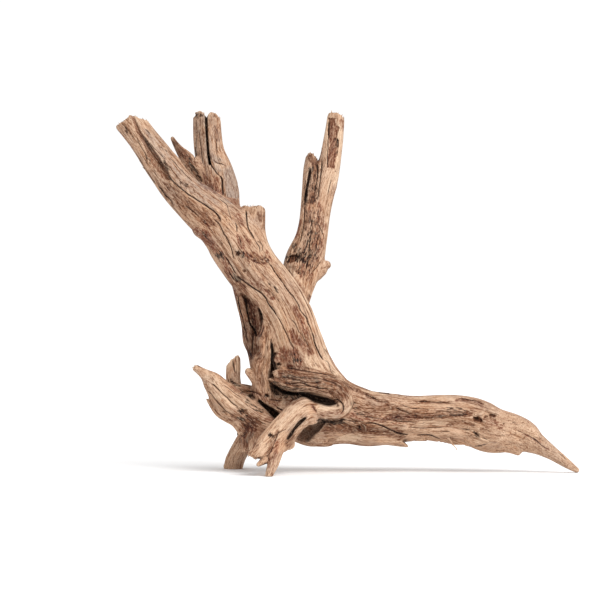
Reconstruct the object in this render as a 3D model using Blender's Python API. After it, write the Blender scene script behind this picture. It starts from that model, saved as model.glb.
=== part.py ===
"""Aquarium driftwood, about 400 mm long and 310 mm high.

One piece of weathered root wood, grown in one piece. A heavy stem leans up to the left, two lighter
limbs rise behind it, and a long root runs out to the right. The wood stands on three points: the
front stub, the tip of the right root and a foot at the back.

Frame: +X to the right, +Y to the back, +Z up, origin under the middle of the box, in metres.
"""

import math

import bmesh
import bpy
from mathutils import Vector

MM = 0.001

# Driving sizes, in millimetres
GROUND_Z = 0.0
SECTION_SIDES = 20
RING_SPACING = 4.0
GRID_SIZE = 1.6
SMOOTH_ROUNDS = 5
SMOOTH_SHARE = 0.45
TARGET_TRIANGLES = 9600

WOOD_COLOUR = (0.50, 0.335, 0.215, 1.0)
WOOD_ROUGHNESS = 0.86
WOOD_METALLIC = 0.0

# Each limb is a list of stations: centre x, y, z, then half the width across the limb as it is seen
# from the front, then half the depth from front to back.

STEM = [
    (-186, -12, 295, 12, 8),
    (-181, -12, 289, 14, 10),
    (-170, -11, 277, 14, 12),
    (-148, -8, 249, 16.5, 15),
    (-127, -5, 229, 17.5, 17),
    (-109, -3, 213, 21, 19),
    (-94, -2, 195, 23.5, 20),
    (-80, -2, 173, 22.5, 20),
    (-62, -3, 152, 21, 19),
    (-50, -3, 131, 22, 18),
    (-43, -2, 110, 23, 19),
    (-35, 0, 86, 24, 21),
    (-16, 2, 60, 25, 22),
    (12, 2, 47, 24, 21),
    (35, 1, 45.5, 22.5, 20),
    (60, 0, 46, 19, 18),
    (85, -1, 46, 19, 17),
    (105, -2, 43, 20, 16),
    (122, -3, 37, 20, 15),
    (140, -4, 34, 16, 12),
    (152, -5, 29.5, 13, 10),
    (162, -6, 24, 8.8, 8),
    (174, -7, 16.5, 5.8, 6),
    (186, -8, 8, 4.4, 4.8),
    (195, -9, 1.6, 3, 3.6),
]
STEM_STUB = [(-88, 0, 203, 12, 12), (-77, 1, 215, 9, 9), (-71, 2, 221, 4.5, 7)]

TALL_LIMB = [
    (-52, 6, 122, 13, 13),
    (-43, 13, 150, 13.5, 13),
    (-36, 21, 178, 16.5, 12),
    (-29, 27, 200, 14, 12),
    (-25, 33, 224, 13, 11),
    (-20, 38, 246, 12.5, 11),
    (-13, 44, 268, 9.5, 9),
    (-10, 49, 290, 8.5, 8),
    (-8, 53, 307, 8, 7),
]
SHORT_LIMB = [(-30, 31, 222, 8, 9), (-29, 36, 244, 8, 9), (-29, 39, 260, 7, 8), (-29, 41, 272, 5, 6)]
KNOB = [(-22, 24, 178, 7, 7), (-16, 26, 177, 5.5, 6), (-13, 27, 177, 3.5, 4)]

MIDDLE_LIMB = [
    (-94, 3, 200, 14, 14),
    (-103, 10, 221, 14, 14),
    (-108, 16, 239, 16.5, 14),
    (-112, 21, 256, 15.5, 13),
    (-117, 26, 273, 13, 12),
    (-119, 30, 289, 12.5, 11),
    (-120, 33, 306, 12, 9),
]
SPUR = [(-126, 17, 256, 7, 7), (-137, 15, 269, 5.5, 5), (-144, 13, 277, 4.2, 4), (-150, 11, 286, 2.2, 2)]

REAR_RIB = [
    (-91, 8, 168, 9, 10),
    (-85, 14, 148, 10, 9),
    (-79, 18, 128, 11, 8),
    (-76, 19, 112, 10, 9),
    (-70, 19, 92, 12, 11),
    (-62, 18, 70, 15, 14),
]
PILLAR_LEFT = [
    (-66, -8, 132, 5, 5),
    (-72, -8, 116, 5, 5),
    (-75, -7, 103, 4.5, 5),
    (-78, -6, 88, 6, 7),
    (-75, -2, 72, 8, 9),
    (-70, 0, 62, 10, 11),
]
PILLAR_RIGHT = [(-61, -10, 124, 5, 5), (-65, -10, 106, 4.5, 5), (-68, -9, 90, 6, 6), (-64, -6, 72, 8, 8)]
LUMP = [(-79, -6, 84, 4, 4), (-84, -7, 87, 3, 3.5)]

BASE = [(-66, 8, 62, 17, 18), (-48, 8, 54, 22, 22), (-28, 8, 45, 24, 24), (-8, 6, 42, 22, 22)]
DARK_RIDGE = [
    (-61, -15, 84, 8, 7),
    (-46, -18, 78, 10, 9),
    (-26, -20, 76, 10, 9),
    (-8, -19, 72, 9.5, 9),
    (0, -19, 62, 8, 8),
    (-3, -19, 52, 7, 7),
    (-14, -21, 51, 7, 7),
    (-24, -22, 53, 6, 6),
]

FRONT_STUB = [
    (-22, -12, 54, 12, 12),
    (-36, -22, 53, 12, 12),
    (-49, -31, 41, 12, 10.5),
    (-60, -40, 28, 12, 9.5),
    (-67, -46, 18, 11, 8),
]
PRONG_LEFT = [(-71, -45, 21, 5, 5), (-76, -50, 17, 3.5, 3.5)]
PRONG_MIDDLE = [(-66, -48, 16, 5, 5), (-69, -53, 9.5, 3.5, 3.5)]
PRONG_RIGHT = [(-61, -46, 18, 5, 5.5), (-62, -51, 9, 4.5, 5), (-65, -55, -2, 4, 4.5)]
LATH = [(-32, -24, 46, 4, 4), (-41, -29, 37, 4, 4), (-47, -34, 29, 4, 4), (-52, -39, 21, 3, 3.5)]

LEFT_BRANCH = [
    (-60, 0, 38, 13, 14),
    (-72, -4, 42, 13.5, 14),
    (-85, -8, 50, 13.5, 13),
    (-98, -11, 60, 12.5, 12),
    (-110, -13, 72.5, 10.5, 9),
    (-119, -14, 81.5, 7, 6),
    (-127, -15, 88, 2.4, 2.6),
]
FIN = [(-92, 6, 64, 5.5, 5), (-96, 8, 80, 6.5, 4.5), (-96, 9, 91, 5.5, 4), (-94, 10, 98, 3.2, 3)]
WAVY_ROOT = [
    (-97, 2, 72, 3, 4),
    (-88, 2, 70, 5, 5),
    (-76, 2, 66, 5.5, 5.5),
    (-66, 0, 60, 6, 5.5),
    (-56, -4, 56, 7, 6),
    (-44, -8, 56, 8, 7),
]
BACK_FOOT = [
    (-62, 8, 50, 14, 14),
    (-78, 16, 36, 11, 12),
    (-88, 29, 22, 9, 10),
    (-95, 41, 9, 8.5, 9.5),
    (-98, 46, -6, 8.5, 9.5),
]

LIMBS = [
    STEM, STEM_STUB, TALL_LIMB, SHORT_LIMB, KNOB, MIDDLE_LIMB, SPUR, REAR_RIB, PILLAR_LEFT, PILLAR_RIGHT,
    LUMP, BASE, DARK_RIDGE, FRONT_STUB, PRONG_LEFT, PRONG_MIDDLE, PRONG_RIGHT, LATH, LEFT_BRANCH, FIN,
    WAVY_ROOT, BACK_FOOT,
]

# Hollows are lists of stations too, and are cut out of the limbs.

OPEN_GROOVE = [
    (-184, -22, 306, 2.5, 8),
    (-176, -23, 290, 4, 9),
    (-167, -23, 275, 4.5, 8),
    (-159, -23, 262, 4, 7),
    (-153, -23, 249, 1.6, 4),
]
MIDDLE_SPLIT = [(-120, 26, 312, 2.6, 9), (-118, 22, 288, 2.8, 10), (-117, 15, 268, 2.4, 9), (-115, 11, 257, 1.8, 6)]
SHORT_GROOVE = [(-30, 35, 264, 2, 7), (-32, 29, 246, 2.2, 7), (-35, 23, 226, 1.8, 5)]
ARCH = [(-84, 1, 145, 4, 10), (-78, 3, 133, 8, 11), (-76, 3, 119, 8, 11), (-79, 2, 104, 4.5, 9)]
CURL_HOLLOW = [(-40, -30, 68, 3, 10), (-28, -30, 65, 4, 12), (-14, -30, 62, 3.6, 10)]
FRONT_CAVITY = [(-22, -20, 38, 6, 15), (-31, -18, 35, 8.5, 17), (-40, -20, 29, 6, 14)]
SIDE_GAP = [(-72, -12, 57, 2, 8), (-66, -12, 53, 3, 9), (-59, -13, 47, 2.4, 8)]
RAGGED_GAP = [(-62, -18, 112, 1.4, 5), (-61, -19, 100, 2.2, 6), (-63, -19, 86, 1.6, 5)]

HOLLOWS = [
    OPEN_GROOVE, MIDDLE_SPLIT, SHORT_GROOVE, ARCH, CURL_HOLLOW, FRONT_CAVITY, SIDE_GAP, RAGGED_GAP,
]


def through_stations(stations, spacing):
    """Even steps along a Catmull-Rom curve through the stations, so a limb bends and swells evenly."""
    rows = [tuple(float(v) for v in row) for row in stations]
    rows = [tuple(2 * a - b for a, b in zip(rows[0], rows[1]))] + rows
    rows.append(tuple(2 * a - b for a, b in zip(rows[-1], rows[-2])))
    out = []
    for i in range(1, len(rows) - 2):
        before, start, end, after = rows[i - 1 : i + 3]
        length = math.dist(start[:3], end[:3])
        steps = max(1, round(length / spacing))
        for k in range(steps):
            t = k / steps
            out.append(tuple(
                0.5 * (2 * b + (c - a) * t + (2 * a - 5 * b + 4 * c - d) * t * t
                       + (3 * b - a - 3 * c + d) * t ** 3)
                for a, b, c, d in zip(before, start, end, after)
            ))
    out.append(rows[-2])
    return out


def section_axes(rows, i):
    """The two directions of a section: across the limb as seen from the front, and its depth."""
    here, there = rows[max(i - 1, 0)], rows[min(i + 1, len(rows) - 1)]
    along = (Vector(there[:3]) - Vector(here[:3])).normalized()
    across = along.cross(Vector((0, 1, 0)))
    if across.length < 0.2:
        across = Vector((1, 0, 0))
    across.normalize()
    return along, across, across.cross(along).normalized()


def add_limb(mesh, stations):
    """One closed tube of elliptical sections with domed ends."""
    rows = through_stations(stations, RING_SPACING)
    rings = []
    for i, (x, y, z, half_width, half_depth) in enumerate(rows):
        along, across, depth = section_axes(rows, i)
        domes = [(0.0, 1.0)]
        if i == 0:
            domes = [(-0.45, 0.55), (-0.25, 0.85), (0.0, 1.0)]
        elif i == len(rows) - 1:
            domes = [(0.0, 1.0), (0.25, 0.85), (0.45, 0.55)]
        for push, shrink in domes:
            centre = Vector((x, y, z)) + along * push * min(half_width, half_depth)
            ring = []
            for k in range(SECTION_SIDES):
                turn = 2 * math.pi * k / SECTION_SIDES
                side = across * math.cos(turn) * half_width * shrink
                side += depth * math.sin(turn) * half_depth * shrink
                ring.append(mesh.verts.new((centre + side) * MM))
            rings.append(ring)
    for first, second in zip(rings, rings[1:]):
        for k in range(SECTION_SIDES):
            n = (k + 1) % SECTION_SIDES
            mesh.faces.new((first[k], first[n], second[n], second[k]))
    mesh.faces.new(reversed(rings[0]))
    mesh.faces.new(rings[-1])


def tubes(name, all_stations):
    """An object that holds one tube for each list of stations."""
    mesh = bmesh.new()
    for stations in all_stations:
        add_limb(mesh, stations)
    bmesh.ops.recalc_face_normals(mesh, faces=mesh.faces)
    data = bpy.data.meshes.new(name)
    mesh.to_mesh(data)
    mesh.free()
    thing = bpy.data.objects.new(name, data)
    bpy.context.scene.collection.objects.link(thing)
    return thing


def settle(thing):
    """Turn an object's modifiers into its mesh."""
    view = bpy.context.evaluated_depsgraph_get()
    finished = bpy.data.meshes.new_from_object(thing.evaluated_get(view), depsgraph=view)
    thing.modifiers.clear()
    thing.data = finished


def grow_together(thing, size):
    """Make one skin round everything in the object."""
    remesh = thing.modifiers.new("One skin", "REMESH")
    remesh.mode = "VOXEL"
    remesh.voxel_size = size * MM
    settle(thing)


def largest_body(mesh):
    """Drop the crumbs that a cut can leave, and keep the largest connected body."""
    todo, bodies = set(mesh.verts), []
    while todo:
        group, edge = set(), [todo.pop()]
        while edge:
            vert = edge.pop()
            group.add(vert)
            for link in vert.link_edges:
                other = link.other_vert(vert)
                if other in todo:
                    todo.discard(other)
                    edge.append(other)
        bodies.append(group)
    bodies.sort(key=len)
    for group in bodies[:-1]:
        bmesh.ops.delete(mesh, geom=list(group), context="VERTS")


def cut_flat_feet(thing):
    """Cut everything below the ground plane away, which leaves a flat on each foot."""
    mesh = bmesh.new()
    mesh.from_mesh(thing.data)
    largest_body(mesh)
    everything = mesh.verts[:] + mesh.edges[:] + mesh.faces[:]
    cut = bmesh.ops.bisect_plane(
        mesh, geom=everything, dist=0.02 * MM, plane_co=(0, 0, GROUND_Z * MM), plane_no=(0, 0, 1),
        clear_inner=True,
    )
    for vert in mesh.verts:
        if abs(vert.co.z - GROUND_Z * MM) < 0.05 * MM:
            vert.co.z = GROUND_Z * MM
    rim = [item for item in cut["geom_cut"] if isinstance(item, bmesh.types.BMEdge)]
    bmesh.ops.holes_fill(mesh, edges=rim, sides=0)
    bmesh.ops.triangulate(mesh, faces=[face for face in mesh.faces if len(face.verts) > 3])
    bmesh.ops.recalc_face_normals(mesh, faces=mesh.faces)
    mesh.to_mesh(thing.data)
    mesh.free()


def wood():
    material = bpy.data.materials.new("wood")
    material.use_nodes = True
    surface = material.node_tree.nodes["Principled BSDF"]
    surface.inputs["Base Color"].default_value = WOOD_COLOUR
    surface.inputs["Roughness"].default_value = WOOD_ROUGHNESS
    surface.inputs["Metallic"].default_value = WOOD_METALLIC
    material.diffuse_color = WOOD_COLOUR
    return material


def driftwood():
    body = tubes("driftwood", LIMBS)
    grow_together(body, GRID_SIZE)
    hollows = tubes("hollows", HOLLOWS)
    grow_together(hollows, GRID_SIZE * 0.5)
    cut = body.modifiers.new("Hollows", "BOOLEAN")
    cut.operation = "DIFFERENCE"
    cut.solver = "EXACT"
    cut.object = hollows
    settle(body)
    bpy.data.objects.remove(hollows, do_unlink=True)
    grow_together(body, GRID_SIZE)
    smooth = body.modifiers.new("Weathered", "SMOOTH")
    smooth.factor = SMOOTH_SHARE
    smooth.iterations = SMOOTH_ROUNDS
    settle(body)
    body.data.calc_loop_triangles()
    fewer = body.modifiers.new("Fewer faces", "DECIMATE")
    fewer.ratio = min(1.0, TARGET_TRIANGLES / len(body.data.loop_triangles))
    fewer.use_collapse_triangulate = True
    settle(body)
    cut_flat_feet(body)
    body.data.materials.clear()
    body.data.materials.append(wood())
    body.data.shade_smooth()
    return body


for thing in list(bpy.data.objects):
    bpy.data.objects.remove(thing, do_unlink=True)
driftwood()
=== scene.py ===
"""Aquarium driftwood: the finished look of one piece of weathered root wood.

The wood is carved as a solid field: limbs of oval section run along curves, swell into each other,
and are hollowed, split and pitted. The field's surface becomes one closed mesh. Lengths are in
millimetres until the mesh is made, which is in metres. +X is to the right, +Y to the back, +Z up.
"""

import math
from concurrent.futures import ThreadPoolExecutor

import bpy
import numpy as np
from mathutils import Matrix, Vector


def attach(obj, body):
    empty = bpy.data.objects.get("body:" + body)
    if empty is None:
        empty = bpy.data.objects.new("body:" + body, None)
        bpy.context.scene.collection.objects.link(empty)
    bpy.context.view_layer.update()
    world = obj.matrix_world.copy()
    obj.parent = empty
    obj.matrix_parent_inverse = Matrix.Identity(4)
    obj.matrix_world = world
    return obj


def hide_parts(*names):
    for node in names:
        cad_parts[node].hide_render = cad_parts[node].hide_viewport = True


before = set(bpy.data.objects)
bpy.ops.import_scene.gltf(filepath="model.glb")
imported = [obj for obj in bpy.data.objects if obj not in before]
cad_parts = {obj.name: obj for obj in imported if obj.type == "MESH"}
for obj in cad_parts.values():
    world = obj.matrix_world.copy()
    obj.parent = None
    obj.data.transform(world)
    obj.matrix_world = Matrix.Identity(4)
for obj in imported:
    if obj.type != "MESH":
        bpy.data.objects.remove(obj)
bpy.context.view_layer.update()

MM = 0.001

# How finely the wood is carved, and the most faces that its skin may have
CARVING_STEP = 0.72
COARSE_STEPS = 8
MOST_TRIANGLES = 186000
CURVE_SPACING = 2.0
MOST_CLEFT = 2.4
MOST_AT_ONCE = 50000

# The view from the front: what it looks at, and from how far
VIEW_X = -39.1
VIEW_Z = 146.2
VIEW_DISTANCE = 2125.0
VIEW_LENS = 150.0
VIEW_SENSOR = 36.0

# Each limb is a list of stations: centre x, y, z, then half the width across the limb as it is seen
# from the front, then half the depth from front to back.

STEM = [
    (-186.4, -12, 301.7, 14.2, 9),
    (-175.2, -12, 287.4, 12.8, 11),
    (-167.9, -11, 277.8, 13, 12.3),
    (-154, -9, 258.6, 14.4, 14),
    (-140, -7, 240.6, 15.7, 15.5),
    (-122, -4.5, 223.7, 18.4, 18),
    (-106, -3, 209.5, 20.8, 19),
    (-94, -2, 195, 23.5, 20),
    (-80, -2, 173, 22.5, 20),
    (-62, -3, 152, 21, 19),
    (-50, -3, 131, 22, 18),
    (-43, -2, 110, 23, 19),
    (-35, 0, 86, 24, 21),
    (-16, 2, 60, 25, 22),
    (12, 2, 47, 24, 21),
    (35, 1, 45.5, 22.5, 20),
    (60, 0, 46, 19, 18),
    (85, -1, 46, 19, 17),
    (105, -2, 43, 20, 16),
    (122, -3, 37, 20, 15),
    (140, -4, 34, 16, 12),
    (152, -5, 29.5, 13, 10),
    (162, -6, 24, 8.8, 8),
    (174, -7, 16.5, 5.8, 6),
    (186, -8, 8, 4.2, 4.6),
    (195, -9, 2.2, 2.4, 3.2),
]
STEM_STUB = [(-86, 0, 178, 13, 14), (-82, 1, 198, 13.5, 12), (-79.3, 2, 212, 11, 10),
             (-78.3, 2.5, 228, 9.4, 8.5)]
STEM_NODULE = [(-118, -8, 210, 7, 8), (-124, -9, 205, 5, 6)]

TALL_LIMB = [
    (-52, 6, 122, 13, 13),
    (-43, 13, 150, 13.5, 13),
    (-36, 21, 178, 16.5, 12),
    (-29, 27, 200, 14, 12),
    (-25, 33, 224, 13, 11),
    (-20, 38, 246, 12, 11),
    (-13, 44, 268, 9.2, 9),
    (-9.5, 49, 290, 8.5, 8),
    (-7.5, 53, 309, 7.8, 7),
]
SHORT_LIMB = [(-30, 29, 206, 7, 8), (-30, 31, 222, 8, 9), (-29, 36, 244, 8, 9), (-29, 39, 260, 7, 8),
              (-28, 41, 273, 5.5, 6)]
KNOB = [(-26, 23, 171, 9, 8), (-20, 26, 175, 7, 7), (-16, 27, 176.5, 3.6, 4)]

MIDDLE_LIMB = [
    (-94, 3, 200, 14, 14),
    (-103, 10, 221, 14, 14),
    (-108, 16, 239, 16.5, 14),
    (-112, 21, 256, 15.5, 13),
    (-117, 26, 273, 13, 12),
    (-119, 30, 289, 12.3, 11),
    (-120, 33, 309, 11.6, 9),
]
SPUR = [
    (-118, 21, 249, 9, 7),
    (-127, 18, 255, 9, 7.5),
    (-133.5, 16.5, 262.5, 8, 6.5),
    (-138, 15.5, 269.5, 5.6, 5),
    (-142, 14, 274.5, 3.7, 3.6),
    (-146, 12.5, 280.5, 2.3, 2.4),
    (-148, 12, 284.2, 1.7, 1.8),
]

REAR_RIB = [
    (-91, 8, 168, 9, 10),
    (-85, 14, 148, 10, 9),
    (-79, 18, 128, 11, 8),
    (-76.5, 19, 112, 11.4, 9),
    (-74.5, 19, 104, 10.2, 9),
    (-70, 19, 92, 12, 11),
    (-62, 18, 70, 15, 14),
]
PILLAR_LEFT = [
    (-66.5, -9, 130, 3, 4),
    (-70.2, -10, 119, 2.6, 4.5),
    (-72, -11, 111, 4, 5),
    (-70.7, -11, 106.5, 2.8, 5),
    (-71.4, -11, 101, 3, 5.5),
    (-74.6, -10.5, 95, 5.2, 5.5),
    (-75.4, -9, 89.5, 4.2, 6.5),
    (-75, -6, 82, 4.5, 8),
    (-73, -3, 72, 7, 9),
    (-70, 0, 62, 10, 11),
]
PILLAR_RIGHT = [
    (-60, -9, 128, 3, 4),
    (-64.6, -11, 117, 2.4, 4.5),
    (-66, -12.5, 109, 2.7, 5),
    (-66, -13, 101, 2.8, 5.5),
    (-66.3, -13, 95, 3.1, 5.5),
    (-67.8, -11.5, 88, 4.4, 6.5),
    (-68.4, -8, 79, 5.8, 8),
    (-66, -3, 66, 6.5, 9),
]
LUMP = [(-77, -7, 80, 4.5, 4.5), (-82.5, -9, 85.5, 3.2, 3.4)]

TRUNK_NUB = [(-60, 8, 156, 10, 10), (-63, 17, 160, 6.5, 7), (-65, 22, 162, 4, 4)]
ROOT_KNOT = [(64, 8, 50, 9, 9), (66, 16, 53, 6, 6), (67, 19.5, 54, 4, 4)]

BASE = [(-66, 8, 62, 15, 16), (-48, 8, 54, 22, 22), (-28, 8, 45, 24, 24), (-10, 6, 42, 20, 20),
        (8, 4, 42, 14, 14)]
DARK_RIDGE = [
    (-60, -15, 83, 7.5, 6.5),
    (-46, -18, 78, 9.5, 9),
    (-26, -20, 76, 9.5, 9),
    (-9, -19.5, 71.5, 9, 9),
    (-1.5, -19.5, 61.5, 7, 8),
    (-4.5, -21, 53.3, 6, 6.5),
    (-13, -24, 51.5, 5.6, 5),
    (-23, -25, 53, 5.2, 4),
]

FRONT_STUB = [
    (-22, -12, 54, 10, 11),
    (-36, -22, 53, 12, 11),
    (-49, -31, 41.5, 11.8, 9),
    (-60, -40, 29.5, 11.8, 7.5),
    (-70, -47, 18.5, 10.4, 6),
    (-75, -50, 13, 9.6, 5),
]
PRONG_MIDDLE = [(-63, -42, 22, 5, 5), (-68, -48, 14, 3.6, 3.8), (-73.5, -52, 9.8, 1.8, 2)]
PRONG_RIGHT = [(-55, -38, 28, 5, 5.5), (-58.5, -45, 19, 5, 5.5), (-61.5, -50, 10, 4.6, 5),
               (-64.5, -53.5, 2, 3.4, 4), (-65, -54.5, -2, 3, 3.8)]
LATH_GAP = [(-35, -34, 47.2, 0.4, 5), (-39.5, -36, 43.6, 1.0, 6), (-44, -39, 38.4, 0.5, 6),
            (-46, -40, 35.4, 0.9, 6), (-49.5, -42, 30.5, 0.4, 5)]
LATH = [(-28, -25, 48, 2.6, 3), (-34, -27, 43.5, 2.0, 2.2), (-39.5, -29, 38, 1.9, 2.0),
        (-44, -32, 32, 2.6, 2.0), (-47.5, -34, 26.5, 2.8, 2)]
FLANGE = [(-40, -28, 34, 1.6, 1.6), (-44, -30, 30, 3.4, 1.8), (-47, -32, 25.5, 3.8, 1.8),
          (-50, -34, 21, 3.2, 1.6)]
TAN_BLOCK = [(-26, -22, 50, 4, 5), (-28, -25, 43.5, 3.6, 3.4)]
THREAD = [(-18, -26, 50, 1.4, 1.4), (-18.2, -27, 44, 0.8, 0.9), (-18.4, -26.5, 38, 0.75, 0.8),
          (-21.5, -24, 32, 0.8, 0.8), (-25.5, -20, 26, 1.2, 1.2)]

LEFT_BRANCH = [
    (-60, 0, 38, 13, 14),
    (-72, -4, 42, 13.5, 14),
    (-85, -8, 50.5, 12.6, 13),
    (-98, -11, 61, 11.2, 12),
    (-108, -12.5, 71, 9.8, 10),
    (-114, -13.5, 77.5, 8.2, 8),
    (-119, -14, 82.5, 5, 5),
    (-124, -15, 86.5, 3.3, 3.2),
    (-128.5, -15.5, 89.8, 2.7, 2.5),
]
BARK_EDGE = [(-117, -12, 69, 1.5, 4), (-112, -12, 61.5, 3.4, 6), (-106.5, -12, 53, 4.6, 7),
             (-99.5, -11, 48.5, 5.4, 8),
             (-93, -11, 44.5, 6, 8), (-87, -11, 36, 6, 7)]
BARK_CHUNK = [(-76, -8, 46, 10, 8), (-80.5, -11, 34, 9, 8), (-80.5, -13, 19, 7.6, 6.5)]
FIN = [(-93, 6, 64, 6, 5.2), (-96, 8, 78, 6.2, 4.6), (-96, 9, 88, 6.2, 4), (-95.6, 10, 100, 5.6, 3)]
WAVY_ROOT = [
    (-97, 2, 72, 3, 4),
    (-88, 2, 70, 4.6, 5),
    (-76, 2, 66, 5.2, 5.5),
    (-66, 0, 60, 5.6, 5.5),
    (-56, -4, 56, 7, 6),
    (-44, -8, 56, 8, 7),
]
BACK_FOOT = [
    (-62, 8, 50, 14, 14),
    (-78, 16, 36, 11, 12),
    (-88, 29, 22, 9, 10),
    (-95, 41, 9, 8.5, 9.5),
    (-98, 46, -6, 8.5, 9.5),
]
UNDER_TONGUE = [(10, -2, 32, 5, 7), (32, -4, 28, 4.5, 6), (45, -6, 25, 3.2, 4.5),
                (51.5, -7, 22.5, 1.2, 2.4)]
UNDER_SPIKES = [(50, 0, 32, 5, 8), (61, -3, 29.5, 3.2, 5), (67.5, -5, 27.6, 1.1, 2.4)]
UNDER_HAIR = [(86.5, -12, 28.6, 1.5, 1.6), (90, -13, 24.2, 0.8, 0.8), (92.5, -13.5, 21.2, 0.55, 0.55),
              (93.8, -14, 19.2, 0.45, 0.45)]
UNDER_STRIP = [(62, 4, 32, 4, 7), (80, 2, 29, 3.6, 6), (92, -3, 26, 2.6, 4), (98, -4, 24.6, 1.4, 2.4)]
ROOT_NUB = [(138, -5, 21, 4, 5), (145.5, -6, 17.4, 3, 3.4)]

# Hollows, as stations too
OPEN_SPLIT = [(-120.3, 25, 314, 1.1, 5), (-119.2, 20, 290, 1.1, 5), (-117.6, 15, 272, 0.8, 4),
              (-116.4, 12, 262, 0.6, 4)]
ARCH = [(-87.5, 1, 151, 3, 10), (-81.5, -3, 140, 8, 15), (-78, -4, 127, 9.2, 16), (-79, -2, 114, 7.4, 14),
        (-80, 3, 100, 4, 8)]
CURL_HOLLOW = [
    (-37, -26, 66.5, 0.8, 15),
    (-31, -26, 65, 1.8, 15),
    (-25.5, -26, 62.9, 2.8, 16),
    (-15.7, -25, 60.6, 3.1, 16),
    (-10.5, -24, 59.6, 1.8, 14),
]
CURL_POCKET = [(-24, -16, 58, 4, 4), (-15, -15, 55.5, 5.5, 5), (-8, -15, 56.5, 3.4, 4)]
UNDER_CURL = [(-22, -24, 44.8, 0.9, 8), (-13, -26, 43.6, 1.7, 9), (-4, -26, 44.9, 1.2, 8)]
FRONT_CAVITY = [(-22, -24, 41, 2.5, 9), (-27, -22, 38, 6, 13), (-33, -19, 34, 8, 16), (-38, -17, 27, 8, 15),
                (-42, -16, 18, 7, 14)]
SIDE_GAP = [(-74, -10, 60.5, 0.7, 6), (-68, -9, 55.5, 1.7, 9), (-62, -9, 50.5, 3, 11),
            (-57, -10, 46, 3.2, 11)]
BACK_HOLLOW = [(-36, 22, 104, 0.8, 5), (-29, 24, 90, 3.4, 5.5), (-19, 24, 76, 4.6, 6), (-6, 23, 62, 2.6, 5),
               (6, 20, 54, 0.8, 4)]
UNDER_RIDGE = [(-61, -5, 76, 0.9, 6), (-56, -8, 71.5, 2.6, 9), (-49, -10, 69, 3.2, 10),
               (-40, -14, 67.5, 1.8, 9)]

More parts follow.
